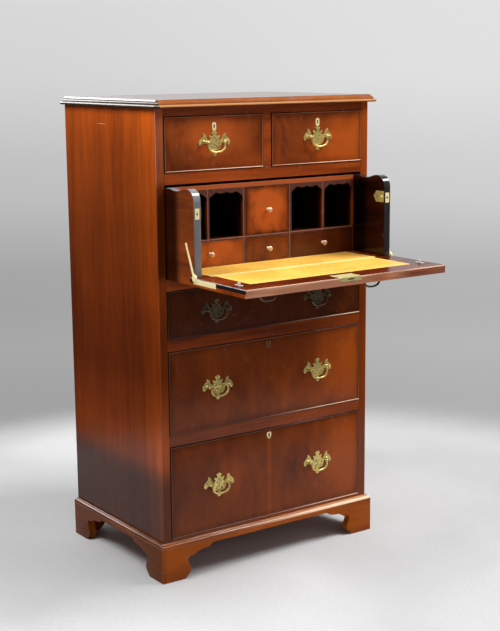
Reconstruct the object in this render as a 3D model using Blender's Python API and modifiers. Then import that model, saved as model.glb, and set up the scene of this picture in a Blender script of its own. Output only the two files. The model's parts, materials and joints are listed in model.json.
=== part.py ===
"""Secretaire chest: five graduated drawers round a writing drawer with a hinged fall.

The writing drawer stands drawn out with its fall let down, every other drawer is shut.
Metres, +Z up, the front faces -Y, and the origin is on the floor under the middle of
the whole piece.
"""
import math

import bmesh
import bpy

# Carcase
CASE_W = 0.640
CASE_D = 0.446
SIDE_T = 0.022
BACK_T = 0.010
BOTTOM_T = 0.018
RAIL_H = 0.028
RAIL_D = 0.060
DUST_T = 0.012
DIVIDER_T = 0.023
TOP_RAIL_H = 0.0195

# Clear heights of the openings, from the bottom drawer up
BOTTOM_DRAWER_H = 0.2355
MIDDLE_DRAWER_H = 0.2095
UPPER_DRAWER_H = 0.119
DESK_H = 0.2245
SHORT_DRAWER_H = 0.131

# Clearances
GAP = 0.0003
RUNNING_GAP = 0.0005
FRONT_CLEAR = 0.001
BOX_CLEAR = 0.0015
BOX_HEADROOM = 0.006
STOP_GAP = 0.004
CUT_OVERRUN = 0.004
MERGE_DISTANCE = 0.00001
SHARP_ANGLE = math.radians(40)
FACING_SHARE = 0.5
ROUND_STEPS = 6
HANDS = (("left", -1), ("right", 1))

# Top board: its moulded edge stands out over the sides and further over the front
TOP_T = 0.0192
TOP_SIDE_OVERHANG = 0.0135
TOP_FRONT_OVERHANG = 0.0195
TOP_EDGE_INSET = 0.0127
# From the underside up: share of the inset, share of the thickness
TOP_EDGE_SHARES = (
    (0.28, 0.0), (0.06, 0.08), (0.0, 0.2), (0.08, 0.32), (0.36, 0.38),
    (0.42, 0.52), (0.58, 0.74), (0.82, 0.92), (1.0, 1.0),
)

# Plinth with its bracket feet, and the moulding that the carcase stands in
PLINTH_H = 0.087
PLINTH_OUT = 0.0115
PLINTH_T = 0.020
APRON_CLEAR_H = 0.0775
BRACKET_REACH = 0.147
BASE_MOULD_H = 0.0115
BASE_MOULD_OUT = 0.0128
# From the apron up: share of the moulding's projection, share of its height
BASE_MOULD_SHARES = (
    (0.98, 0.08), (1.0, 0.22), (0.98, 0.38), (0.76, 0.48), (0.5, 0.62),
    (0.34, 0.8), (0.28, 1.0),
)
# Inner outline of a foot, from the floor up: share of the reach, share of the clear height
FOOT_SHARES = (
    (0.449, 0.0), (0.5, 0.1), (0.555, 0.19), (0.575, 0.285), (0.558, 0.4), (0.522, 0.51),
    (0.503, 0.62), (0.51, 0.69), (0.558, 0.735), (0.62, 0.715), (0.7, 0.79), (0.78, 0.85),
    (0.94, 0.877), (1.0, 1.0),
)

# Drawer fronts with a cock bead, and drawer boxes
FRONT_T = 0.020
BEAD_W = 0.003
BEAD_PROUD = 0.002
BOX_SIDE_T = 0.010
BOX_FLOOR_T = 0.007

# Handles: a pierced backplate with two posts that carry the bail
HANDLE_X = 0.156
HANDLE_DROP = 0.002
PLATE_W = 0.0895
PLATE_H = 0.062
PLATE_T = 0.0015
BORING = 0.0615
POST_RISE = 0.005
POST_R = 0.0035
POST_SIDES = 10
PIVOT_OUT = 0.0110
BAIL_R = 0.0022
BAIL_DROP = 0.0245
PIN_R = 0.0011
PIN_DEPTH = 0.003
PIN_CLEAR = 0.0004
# Right half of the backplate, from the top down: shares of half its width and half its height
PLATE_SHARES = (
    (0.0, 1.0), (0.09, 0.93), (0.18, 0.84), (0.11, 0.68), (0.16, 0.52), (0.25, 0.63),
    (0.34, 0.55), (0.26, 0.36), (0.37, 0.25), (0.49, 0.42), (0.56, 0.66), (0.72, 0.78),
    (0.74, 0.56), (0.9, 0.36), (1.0, 0.1), (0.965, -0.12), (0.86, -0.15), (0.8, -0.04),
    (0.6, 0.0), (0.5, 0.06), (0.46, -0.11), (0.42, -0.31), (0.31, -0.46), (0.08, -0.56),
    (0.12, -0.9), (0.0, -1.0),
)
# One side of the bail, from the post down: shares of half its width, its drop and its radius
BAIL_SHARES = (
    (0.97, 0.03, 0.75), (0.95, 0.1, 0.9), (0.98, 0.22, 0.9), (1.0, 0.36, 0.9), (0.97, 0.55, 0.95),
    (0.85, 0.76, 1.0), (0.62, 0.92, 1.0), (0.3, 1.0, 1.0),
)

# Writing drawer
PULL = 0.1376
DESK_CLEAR = 0.0025
DESK_SIDE_T = 0.0205
DESK_BACK_Y = 0.2944
DESK_FLOOR_T = 0.0185
DESK_SIDE_H = 0.2175
LOBE_RISE = 0.005
NOTCH_CLEAR = 0.0008
CURVE_L = 0.100
CURVE_H = 0.028
# Top of a desk side from its front edge back: share of the length, share of the drop
CURVE_SHARES = (
    (0.0, 1.0), (0.015, 0.7), (0.06, 0.38), (0.13, 0.16), (0.22, 0.04), (0.3, 0.0),
    (0.42, 0.06), (0.56, 0.22), (0.7, 0.32), (0.84, 0.3),
)

# Fall: the front of the writing drawer, hinged at its lower edge
FALL_BOARD_T = 0.017
FALL_TOP_CLEAR = 0.0015
LEATHER_W = 0.480
FLOOR_LEATHER_W = 0.500
LEATHER_MARGIN = 0.0605
LEATHER_RECESS = 0.001

# Fall hinges: a leaf let into the end of the fall, an arm screwed to the drawer side
LEAF_T = 0.0015
LEAF_H = 0.012
LEAF_TOP = 0.0015
LEAF_L = 0.0875
LEAF_HEEL_SHARE = 0.5
HINGE_R = 0.0085
HINGE_SIDES = 20
HINGE_CLEAR = 0.001
HINGE_PIN_R = 0.0020
ARM_T = 0.0015
ARM_RISE = 0.0795
ARM_BACK = 0.0336
ARM_W = 0.008
ARM_TIP_W = 0.006

# Catch buttons near the top of the desk sides
BUTTON_R = 0.0032
BUTTON_L = 0.008
BUTTON_PROUD = 0.0022
BUTTON_TRAVEL = 0.0018
BUTTON_BACK = 0.0069
BUTTON_DOWN = 0.052
BUTTON_SIDES = 16

# Nest of pigeonholes and small drawers
NEST_SIDE_T = 0.003
NEST_BACK_T = 0.008
NEST_TOP_T = 0.0105
LOWER_DRAWER_H = 0.062
SHELF_T = 0.005
MAIN_PARTITION_X = 0.070
MAIN_PARTITION_T = 0.0075
THIN_PARTITION_X = 0.1755
THIN_PARTITION_T = 0.006
VALANCE_T = 0.005
VALANCE_DROP = 0.0225
VALANCE_ARCH = 0.014
# Left half of the scalloped valance: across from the partition, and up from its lowest point
VALANCE_SHARES = (
    (0, 0), (0.06, 0.19), (0.14, 0.4), (0.24, 0.65), (0.34, 0.87), (0.43, 1), (0.48, 0.88),
    (0.57, 0.77), (0.68, 0.74), (0.8, 0.76), (0.91, 0.84), (1, 0.95),
)

# Small drawers
SMALL_CLEAR = 0.0006
SMALL_FRONT_T = 0.008
SMALL_WALL_T = 0.004
SMALL_DEPTH = 0.240
KNOB_R = 0.0065
KNOB_L = 0.014
KNOB_STEPS = 16
# Turned knob from the top of its head down: share of the radius, share of the length
KNOB_SHARES = (
    (0.0, 1.0), (0.5, 0.96), (0.86, 0.84), (1.0, 0.68), (0.88, 0.5), (0.5, 0.38),
    (0.4, 0.22), (0.72, 0.1), (0.72, 0.0), (0.0, 0.0),
)

# Levels of the front, from the floor up
SEAT_Z = PLINTH_H
BOTTOM_DRAWER_Z = SEAT_Z + BOTTOM_T
MIDDLE_RAIL_Z = BOTTOM_DRAWER_Z + BOTTOM_DRAWER_H
MIDDLE_DRAWER_Z = MIDDLE_RAIL_Z + RAIL_H
UPPER_RAIL_Z = MIDDLE_DRAWER_Z + MIDDLE_DRAWER_H
UPPER_DRAWER_Z = UPPER_RAIL_Z + RAIL_H
DESK_RAIL_Z = UPPER_DRAWER_Z + UPPER_DRAWER_H
DESK_Z = DESK_RAIL_Z + RAIL_H
SHORT_RAIL_Z = DESK_Z + DESK_H
SHORT_DRAWER_Z = SHORT_RAIL_Z + RAIL_H
TOP_RAIL_Z = SHORT_DRAWER_Z + SHORT_DRAWER_H
TOP_Z = TOP_RAIL_Z + TOP_RAIL_H

# The open fall
FALL_T = FALL_BOARD_T + BEAD_PROUD
FALL_H = DESK_H - RUNNING_GAP - FALL_TOP_CLEAR
PIVOT_UP = RUNNING_GAP + FALL_T
PIVOT_BACK = PULL - FALL_BOARD_T
FALL_REACH = FALL_H - FALL_T
REACH = PIVOT_BACK + FALL_REACH

# Planes: the carcase front is placed so that the origin is under the middle
FRONT_Y = (REACH - CASE_D) / 2
BACK_Y = FRONT_Y + CASE_D
INNER_BACK_Y = BACK_Y - BACK_T
HALF_W = CASE_W / 2
OPENING_HALF_W = HALF_W - SIDE_T
DESK_HALF_W = OPENING_HALF_W - DESK_CLEAR
DESK_INNER_X = DESK_HALF_W - DESK_SIDE_T
NEST_TOP_UP = RUNNING_GAP + DESK_SIDE_H

WOOD = ("mahogany", (0.24, 0.075, 0.032, 1.0), 0.35, 0.0)
DARK_WOOD = ("ebonised_mahogany", (0.03, 0.022, 0.02, 1.0), 0.35, 0.0)
FLAME = ("flame_mahogany", (0.30, 0.085, 0.03, 1.0), 0.32, 0.0)
PALE_WOOD = ("drawer_lining", (0.45, 0.28, 0.14, 1.0), 0.6, 0.0)
BRASS = ("aged_brass", (0.62, 0.50, 0.24, 1.0), 0.35, 1.0)


def clear_scene():
    """Empty the scene."""
    for old in list(bpy.data.objects):
        bpy.data.objects.remove(old, do_unlink=True)


def collection(name):
    """A collection in the scene."""
    group = bpy.data.collections.new(name)
    bpy.context.scene.collection.children.link(group)
    return group


clear_scene()
PARTS = collection("secretaire_chest")
CUTTERS = collection("cutters")


def material(finish):
    """The finish's material, made once."""
    name, colour, roughness, metallic = finish
    made = bpy.data.materials.get(name)
    if made is None:
        made = bpy.data.materials.new(name)
        made.use_nodes = True
        shader = made.node_tree.nodes["Principled BSDF"]
        shader.inputs["Base Color"].default_value = colour
        shader.inputs["Roughness"].default_value = roughness
        shader.inputs["Metallic"].default_value = metallic
        made.diffuse_color = colour
    return made


def part(name, mesh, finish, place, parent=None):
    """An object of the chest that shows a mesh."""
    mesh.materials.clear()
    mesh.materials.append(material(finish))
    made = bpy.data.objects.new(name, mesh)
    PARTS.objects.link(made)
    made.parent = parent
    made.location = place
    return made


def joint(name, place, parent=None):
    """An empty on a joint's axis, which carries what moves with it."""
    made = bpy.data.objects.new(name, None)
    PARTS.objects.link(made)
    made.parent = parent
    made.location = place
    return made


def face_outwards(bm):
    """Turn the faces of a closed bmesh so that they point out."""
    bmesh.ops.recalc_face_normals(bm, faces=bm.faces)
    if bm.calc_volume(signed=True) < 0:
        bmesh.ops.reverse_faces(bm, faces=bm.faces)


def finished(name, bm):
    """Turn a bmesh into a mesh with its faces pointing out."""
    face_outwards(bm)
    mesh = bpy.data.meshes.new(name)
    bm.to_mesh(mesh)
    bm.free()
    return mesh


def box_bmesh(low, high):
    """A box between two corners."""
    bm = bmesh.new()
    bmesh.ops.create_cube(bm, size=1)
    size = [top - bottom for bottom, top in zip(low, high)]
    middle = [(top + bottom) / 2 for bottom, top in zip(low, high)]
    bmesh.ops.scale(bm, vec=size, verts=bm.verts)
    bmesh.ops.translate(bm, vec=middle, verts=bm.verts)
    return bm


def box(name, low, high, finish, place=(0, 0, 0), parent=None):
    """A plain board between two corners."""
    return part(name, finished(name, box_bmesh(low, high)), finish, place, parent)


def evaluated_mesh(made, name):
    """The mesh that an object shows, placed, with its loose caps welded; the object goes."""
    bpy.context.view_layer.update()
    graph = bpy.context.evaluated_depsgraph_get()
    mesh = bpy.data.meshes.new_from_object(made.evaluated_get(graph))
    mesh.name = name
    mesh.transform(made.matrix_world)
    bm = bmesh.new()
    bm.from_mesh(mesh)
    bmesh.ops.remove_doubles(bm, verts=bm.verts, dist=MERGE_DISTANCE)
    face_outwards(bm)
    bm.to_mesh(mesh)
    bm.free()
    bpy.data.objects.remove(made, do_unlink=True)
    return mesh


def outline_mesh(name, points, thickness):
    """A flat board in the XY plane with the given outline, its thickness along Z."""
    curve = bpy.data.curves.new(name, "CURVE")
    curve.dimensions = "2D"
    curve.fill_mode = "BOTH"
    curve.extrude = thickness / 2
    spline = curve.splines.new("POLY")
    spline.points.add(len(points) - 1)
    for point, (x, y) in zip(spline.points, points):
        point.co = (x, y, 0, 1)
    spline.use_cyclic_u = True
    made = bpy.data.objects.new(name, curve)
    PARTS.objects.link(made)
    return evaluated_mesh(made, name)


def facing_side(made):
    """Turn an XY outline so that it lies in the YZ plane."""
    made.rotation_euler = (math.pi / 2, 0, math.pi / 2)
    return made


def facing_front(made):
    """Turn an XY outline so that it lies in the XZ plane."""
    made.rotation_euler = (math.pi / 2, 0, 0)
    return made


def cutter(made):
    """Move an object to the cutters."""
    PARTS.objects.unlink(made)
    CUTTERS.objects.link(made)
    made.hide_render = True
    made.display_type = "WIRE"
    return made


def boolean(made, other, operation="DIFFERENCE"):
    """Cut an object with another, or join the other to it."""
    modifier = made.modifiers.new(other.name, "BOOLEAN")
    modifier.operation = operation
    modifier.object = cutter(other)
    return made


def cut_box(made, name, low, high, place=(0, 0, 0)):
    """Cut a box, given in the frame of the object's parent, out of an object."""
    tool = box("cut_" + name, low, high, WOOD, place, made.parent)
    return boolean(made, tool)


def arc(radius, steps, start, turn):
    """Points along an arc about the origin."""
    angles = [start + turn * step / steps for step in range(steps + 1)]
    return [(radius * math.cos(angle), radius * math.sin(angle)) for angle in angles]


def shaded(mesh):
    """Shade round faces smooth and keep the corners sharp."""
    mesh.shade_smooth()
    mesh.set_sharp_from_angle(angle=SHARP_ANGLE)
    return mesh


def rod(name, radius, ends, sides, finish, place, parent=None):
    """A round rod along X between two positions."""
    low, high = sorted(ends)
    bm = bmesh.new()
    bmesh.ops.create_cone(
        bm, cap_ends=True, segments=sides, radius1=radius, radius2=radius, depth=high - low)
    for vert in bm.verts:
        vert.co = ((low + high) / 2 + vert.co.z, vert.co.x, vert.co.y)
    return part(name, shaded(finished(name, bm)), finish, place, parent)


def cut_rod(made, name, radius, ends, sides, place):
    """Cut a round bore along X out of an object."""
    return boolean(made, rod("cut_" + name, radius, ends, sides, WOOD, place, made.parent))


def grow(bm, faces, keep=False):
    """Extrude faces in place and return the new ones; the old ones go unless kept."""
    grown = bmesh.ops.extrude_face_region(bm, geom=faces)["geom"]
    if not keep:
        bmesh.ops.delete(bm, geom=faces, context="FACES_ONLY")
    return [item for item in grown if isinstance(item, bmesh.types.BMFace)]


def moulded_block(name, levels, finish):
    """A block flush at the back whose other three edges follow a moulding.

    A level is its overhang at the sides, its overhang at the front, and its height.
    """
    bm = bmesh.new()
    bmesh.ops.create_grid(bm, x_segments=1, y_segments=1, size=1)
    top = bm.faces[:]
    for step, (side, front, z) in enumerate(levels):
        if step:
            top = grow(bm, top, keep=step == 1)
        for vert in top[0].verts:
            x = math.copysign(HALF_W + side, vert.co.x)
            y = BACK_Y if vert.co.y > 0 else FRONT_Y - front
            vert.co = (x, y, z)
    return part(name, finished(name, bm), finish, (0, 0, 0))


def carcase():
    """Sides, back, bottom, the rails with their dustboards, and the top."""
    inner = OPENING_HALF_W - GAP
    foot = SEAT_Z + GAP
    head = TOP_Z - GAP
    for hand, side in HANDS:
        xs = sorted((side * OPENING_HALF_W, side * HALF_W))
        box("case_side_" + hand, (xs[0], FRONT_Y, foot), (xs[1], BACK_Y, head), WOOD)
    box("back_panel", (-inner, INNER_BACK_Y, foot), (inner, BACK_Y, head), WOOD)
    high = (inner, INNER_BACK_Y - GAP, BOTTOM_DRAWER_Z)
    box("bottom_board", (-inner, FRONT_Y, foot), high, WOOD)
    rails = (
        ("dustboard_middle", MIDDLE_RAIL_Z), ("dustboard_upper", UPPER_RAIL_Z),
        ("dustboard_desk", DESK_RAIL_Z), ("dustboard_short", SHORT_RAIL_Z),
    )
    for name, z in rails:
        dustboard(name, z)
    top_rail()
    drop = [(TOP_EDGE_INSET * inset, TOP_Z + TOP_T * rise) for inset, rise in TOP_EDGE_SHARES]
    levels = [(TOP_SIDE_OVERHANG - inset, TOP_FRONT_OVERHANG - inset, z) for inset, z in drop]
    moulded_block("top_board", levels, WOOD)


def dustboard(name, z):
    """A front rail and the thinner board behind it, flush on top."""
    back = INNER_BACK_Y - GAP
    top = z + RAIL_H
    outline = (
        (FRONT_Y, z), (FRONT_Y + RAIL_D, z), (FRONT_Y + RAIL_D, top - DUST_T),
        (back, top - DUST_T), (back, top), (FRONT_Y, top),
    )
    mesh = outline_mesh(name, outline, 2 * (OPENING_HALF_W - GAP))
    return facing_side(part(name, mesh, WOOD, (0, 0, 0)))


def top_rail():
    """The rail under the top, with the divider between the short drawers."""
    inner = OPENING_HALF_W - GAP
    high = (inner, FRONT_Y + RAIL_D, TOP_Z - GAP)
    rail = box("top_rail", (-inner, FRONT_Y, TOP_RAIL_Z), high, WOOD)
    low = (-DIVIDER_T / 2, FRONT_Y, SHORT_DRAWER_Z + GAP)
    high = (DIVIDER_T / 2, INNER_BACK_Y - GAP, TOP_RAIL_Z + TOP_RAIL_H / 2)
    boolean(rail, box("drawer_divider", low, high, WOOD), "UNION")


def foot_cut(reach_low, reach_high):
    """Outline of the opening between two feet whose outer corners are given."""
    rise = [(BRACKET_REACH * along, APRON_CLEAR_H * up) for along, up in FOOT_SHARES]
    left = [(reach_low + along, z) for along, z in rise]
    right = [(reach_high - along, z) for along, z in reversed(rise)]
    below = [(right[-1][0], -CUT_OVERRUN), (left[0][0], -CUT_OVERRUN)]
    return left + right + below


def bracket_plinth():
    """Bracket feet and apron with the base moulding round the carcase."""
    levels = [(PLINTH_OUT, PLINTH_OUT, 0), (PLINTH_OUT, PLINTH_OUT, PLINTH_H)]
    for out, up in BASE_MOULD_SHARES:
        levels.append((BASE_MOULD_OUT * out, BASE_MOULD_OUT * out, PLINTH_H + BASE_MOULD_H * up))
    plinth = moulded_block("bracket_plinth", levels, WOOD)
    seat_x = HALF_W + GAP
    over = PLINTH_H + BASE_MOULD_H + CUT_OVERRUN
    cut_box(plinth, "seat", (-seat_x, FRONT_Y - GAP, SEAT_Z), (seat_x, BACK_Y + CUT_OVERRUN, over))
    outer_x = HALF_W + PLINTH_OUT
    front = FRONT_Y - PLINTH_OUT
    hollow_x = outer_x - PLINTH_T
    low = (-hollow_x, front + PLINTH_T, -CUT_OVERRUN)
    cut_box(plinth, "under_case", low, (hollow_x, BACK_Y - PLINTH_T, over))
    across = outline_mesh("cut_front_arch", foot_cut(-outer_x, outer_x), 2 * (CASE_D + PLINTH_OUT))
    boolean(plinth, facing_front(part("cut_front_arch", across, WOOD, (0, FRONT_Y, 0))))
    along = outline_mesh("cut_side_arch", foot_cut(front, BACK_Y), 2 * (outer_x + CUT_OVERRUN))
    boolean(plinth, facing_side(part("cut_side_arch", along, WOOD, (0, 0, 0))))


def beaded_board(name, width, height, thickness, finish, parent, place=(0, 0, 0)):
    """A board whose front edge carries a cock bead; its field lies in the plane Y = 0."""
    low = (-width / 2, -BEAD_PROUD, 0)
    bm = box_bmesh(low, (width / 2, thickness, height))
    bm.normal_update()
    front = [face for face in bm.faces if face.normal.y < -FACING_SHARE]
    bmesh.ops.inset_region(bm, faces=front, thickness=BEAD_W)
    field = grow(bm, front)[0]
    bmesh.ops.translate(bm, vec=(0, BEAD_PROUD, 0), verts=field.verts)
    return part(name, finished(name, bm), finish, place, parent)


def drawer(name, x, z, width, height):
    """A drawer with a beaded front and an open box behind it, on its own slide."""
    slide = joint("slide_" + name, (x, FRONT_Y, z))
    front_w = width - 2 * FRONT_CLEAR
    front_h = height - GAP - FRONT_CLEAR
    beaded_board(name + "_front", front_w, front_h, FRONT_T, FLAME, slide, (0, 0, GAP))
    half = width / 2 - BOX_CLEAR
    low = (-half, FRONT_T + GAP, GAP)
    high = (half, CASE_D - BACK_T - STOP_GAP, height - BOX_HEADROOM)
    tray = box(name + "_box", low, high, PALE_WOOD, parent=slide)
    inside_low = (-half + BOX_SIDE_T, FRONT_T - CUT_OVERRUN, GAP + BOX_FLOOR_T)
    inside_high = (half - BOX_SIDE_T, high[1] - BOX_SIDE_T, height + CUT_OVERRUN)
    cut_box(tray, name + "_inside", inside_low, inside_high)
    return slide


def plate_mesh():
    """The backplate with its two bored posts, facing -Y, its origin at the middle of its back."""
    right = [(PLATE_W / 2 * across, PLATE_H / 2 * up) for across, up in PLATE_SHARES]
    left = [(-x, z) for x, z in reversed(right[1:-1])]
    flat = outline_mesh("backplate", right + left, PLATE_T)
    plate = facing_front(part("backplate", flat, BRASS, (0, -PLATE_T / 2, 0)))
    post_l = PIVOT_OUT + POST_R - PLATE_T / 2
    for side in (-1, 1):
        bm = bmesh.new()
        bmesh.ops.create_cone(
            bm, cap_ends=True, segments=POST_SIDES, radius1=POST_R, radius2=POST_R, depth=post_l)
        for vert in bm.verts:
            vert.co = (vert.co.x, -(PLATE_T + post_l) / 2 - vert.co.z, vert.co.y)
        place = (side * BORING / 2, 0, POST_RISE)
        boolean(plate, part("post", finished("post", bm), BRASS, place), "UNION")
    inner_x = BORING / 2 - POST_R
    for side in (-1, 1):
        ends = (side * (inner_x - CUT_OVERRUN), side * (inner_x + PIN_DEPTH + PIN_CLEAR))
        cut_rod(plate, "bore", PIN_R + PIN_CLEAR, ends, POST_SIDES, (0, -PIVOT_OUT, POST_RISE))
    return shaded(evaluated_mesh(plate, "backplate"))


def bail_mesh():
    """The bail: a wire that swells from its two pins, the axis of the pins at the origin."""
    inner_x = BORING / 2 - POST_R
    side_x = inner_x - GAP - BAIL_R
    pin_share = PIN_R / BAIL_R
    path = [(inner_x + PIN_DEPTH, 0, pin_share), (inner_x - GAP, 0, pin_share)]
    path += [(side_x * across, -BAIL_DROP * down, swell) for across, down, swell in BAIL_SHARES]
    path += [(-x, z, swell) for x, z, swell in reversed(path)]
    curve = bpy.data.curves.new("bail", "CURVE")
    curve.dimensions = "3D"
    curve.bevel_depth = BAIL_R
    curve.bevel_resolution = 2
    curve.use_fill_caps = True
    spline = curve.splines.new("POLY")
    spline.points.add(len(path) - 1)
    for point, (x, z, swell) in zip(spline.points, path):
        point.co = (x, 0, z, 1)
        point.radius = swell
    made = bpy.data.objects.new("bail", curve)
    PARTS.objects.link(made)
    return shaded(evaluated_mesh(made, "bail"))


def handle(name, meshes, x, z, parent):
    """A backplate on the front of a drawer, and its bail on a hinge."""
    plate, bail = meshes
    part("plate_" + name, plate, BRASS, (x, -GAP, z), parent)
    swing = joint("swing_" + name, (x, -GAP - PIVOT_OUT, z + POST_RISE), parent)
    part("bail_" + name, bail, BRASS, (0, 0, 0), swing)


def handle_below(name, meshes, x, y, parent):
    """A backplate on the underside of the open fall; its bail hangs straight down."""
    plate, bail = meshes
    face = -FALL_BOARD_T - GAP
    facing_front(part("plate_" + name, plate, BRASS, (x, y, face), parent))
    swing = joint("swing_" + name, (x, y - POST_RISE, face - PIVOT_OUT), parent)
    part("bail_" + name, bail, BRASS, (0, 0, 0), swing)


def drawers():
    """The five plain drawers with their handles."""
    meshes = (plate_mesh(), bail_mesh())
    long_drawers = (
        ("bottom", BOTTOM_DRAWER_Z, BOTTOM_DRAWER_H), ("middle", MIDDLE_DRAWER_Z, MIDDLE_DRAWER_H),
        ("upper", UPPER_DRAWER_Z, UPPER_DRAWER_H),
    )
    for name, z, height in long_drawers:
        slide = drawer(name + "_drawer", 0, z, 2 * OPENING_HALF_W, height)
        for hand, side in HANDS:
            handle(name + "_" + hand, meshes, side * HANDLE_X, height / 2 - HANDLE_DROP, slide)
    short_w = OPENING_HALF_W - DIVIDER_T / 2
    for hand, side in HANDS:
        x = side * (OPENING_HALF_W + DIVIDER_T / 2) / 2
        slide = drawer("short_drawer_" + hand, x, SHORT_DRAWER_Z, short_w, SHORT_DRAWER_H)
        place = side * HANDLE_X - x
        handle("short_" + hand, meshes, place, SHORT_DRAWER_H / 2 - HANDLE_DROP, slide)
    return meshes


def desk_side(hand, side, slide):
    """A shaped side of the writing drawer, with the seats of its hinge and its catch button.

    Its lower front corner is cut away for the lap of the open fall.
    """
    front = RUNNING_GAP - PIVOT_BACK
    notch = FALL_T + NOTCH_CLEAR - PIVOT_BACK
    base = RUNNING_GAP
    top = base + DESK_SIDE_H
    crest = top + LOBE_RISE
    curve = [(front + CURVE_L * along, crest - CURVE_H * drop) for along, drop in CURVE_SHARES]
    outline = [(DESK_BACK_Y, base), (DESK_BACK_Y, top), (front + CURVE_L, top)]
    outline += reversed(curve)
    outline += [(front, PIVOT_UP + RUNNING_GAP), (notch, PIVOT_UP + RUNNING_GAP), (notch, base)]
    name = "desk_side_" + hand
    mesh = outline_mesh(name, outline, DESK_SIDE_T)
    board = part(name, mesh, DARK_WOOD, (side * (DESK_HALF_W - DESK_SIDE_T / 2), 0, 0), slide)
    facing_side(board)
    seat = (side * (DESK_HALF_W - LEAF_T - GAP), side * (DESK_HALF_W + CUT_OVERRUN))
    pivot = (0, -PIVOT_BACK, PIVOT_UP)
    cut_rod(board, name + "_hinge", HINGE_R + HINGE_CLEAR, seat, HINGE_SIDES, pivot)
    button = (0, front + BUTTON_BACK, crest - BUTTON_DOWN)
    inner = DESK_INNER_X - BUTTON_PROUD
    bore_end = inner + BUTTON_L + BUTTON_TRAVEL + GAP
    bore = (side * (inner - CUT_OVERRUN), side * bore_end)
    cut_rod(board, name + "_button", BUTTON_R + GAP, bore, BUTTON_SIDES, button)
    ends = (side * inner, side * (inner + BUTTON_L))
    rod("catch_button_" + hand, BUTTON_R, ends, BUTTON_SIDES, BRASS, button, slide)


def hinge_arm(hand, side, slide):
    """The arm screwed to the drawer side, with the pin of the fall hinge."""
    lean = math.atan2(ARM_RISE, ARM_BACK)
    length = math.hypot(ARM_RISE, ARM_BACK)
    spread = math.asin(ARM_W / 2 / HINGE_R)
    disc = arc(HINGE_R, HINGE_SIDES, spread, 2 * (math.pi - spread))
    tip_r = ARM_TIP_W / 2
    tip = [(length - tip_r + x, y) for x, y in arc(tip_r, ROUND_STEPS, -math.pi / 2, math.pi)]
    turned = []
    for x, y in disc + tip:
        along = x * math.cos(lean) - y * math.sin(lean)
        turned.append((along, x * math.sin(lean) + y * math.cos(lean)))
    name = "hinge_arm_" + hand
    inner = DESK_HALF_W + GAP
    pivot = (side * (inner + ARM_T / 2), -PIVOT_BACK, PIVOT_UP)
    made = facing_side(part(name, outline_mesh(name, turned, ARM_T), BRASS, pivot, slide))
    ends = (side * (DESK_HALF_W - LEAF_T), side * (inner + ARM_T / 2))
    centre = (0, -PIVOT_BACK, PIVOT_UP)
    pin = rod(name + "_pin", HINGE_PIN_R, ends, BUTTON_SIDES, BRASS, centre, slide)
    boolean(made, pin, "UNION")


def hinge_leaf(hand, side, fall):
    """The leaf let into the end of the fall, with a round knuckle about the pin."""
    low = -LEAF_TOP - LEAF_H
    heel = HINGE_R * LEAF_HEEL_SHARE
    start = -math.acos(LEAF_HEEL_SHARE)
    end = math.pi - math.asin(LEAF_TOP / HINGE_R)
    outline = [(-LEAF_L, low), (heel, low)]
    outline += arc(HINGE_R, HINGE_SIDES, start, end - start)
    outline += [(-HINGE_R, -LEAF_TOP), (-LEAF_L, -LEAF_TOP)]
    name = "hinge_leaf_" + hand
    place = (side * (DESK_HALF_W - LEAF_T / 2), 0, 0)
    leaf = facing_side(part(name, outline_mesh(name, outline, LEAF_T), BRASS, place, fall))
    over = (side * (DESK_HALF_W - LEAF_T - CUT_OVERRUN), side * (DESK_HALF_W + CUT_OVERRUN))
    cut_rod(leaf, name + "_hole", HINGE_PIN_R + PIN_CLEAR, over, BUTTON_SIDES, (0, 0, 0))


def fall_front(meshes, slide):
    """The fall with its bead, its leather recess, its hinge leaves and its handles."""
    fall = joint("hinge_fall", (0, -PIVOT_BACK, PIVOT_UP), slide)
    place = (0, FALL_T, -FALL_BOARD_T)
    board = beaded_board("desk_fall", 2 * DESK_HALF_W, FALL_H, FALL_BOARD_T, FLAME, fall, place)
    facing_front(board)
    half = LEATHER_W / 2
    low = (-half, LEATHER_MARGIN - FALL_REACH, -LEATHER_RECESS)
    cut_box(board, "fall_leather", low, (half, FALL_T + CUT_OVERRUN, CUT_OVERRUN))
    for hand, side in HANDS:
        xs = sorted((side * (DESK_HALF_W - LEAF_T - GAP), side * (DESK_HALF_W + CUT_OVERRUN)))
        low = (xs[0], -LEAF_L - GAP, -LEAF_TOP - LEAF_H - GAP)
        high = (xs[1], HINGE_R * LEAF_HEEL_SHARE + GAP, GAP - LEAF_TOP)
        cut_box(board, "leaf_seat_" + hand, low, high)
        cut_rod(board, "knuckle_seat_" + hand, HINGE_R + HINGE_CLEAR, xs, HINGE_SIDES, (0, 0, 0))
        hinge_leaf(hand, side, fall)
        hinge_arm(hand, side, slide)
        middle = FALL_T - FALL_H / 2 + HANDLE_DROP
        handle_below("fall_" + hand, meshes, side * HANDLE_X, middle, fall)


def valance_cut(low, high, z):
    """Outline of a pigeonhole's mouth under its scalloped valance."""
    spring = NEST_TOP_UP - NEST_TOP_T - VALANCE_DROP
    half = (high - low) / 2
    rise = [(half * across, spring + VALANCE_ARCH * up) for across, up in VALANCE_SHARES]
    left = [(low + along, up) for along, up in rise[:-1]]
    right = [(high - along, up) for along, up in rise]
    return [(low, z), (high, z)] + right + left[::-1]


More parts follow.
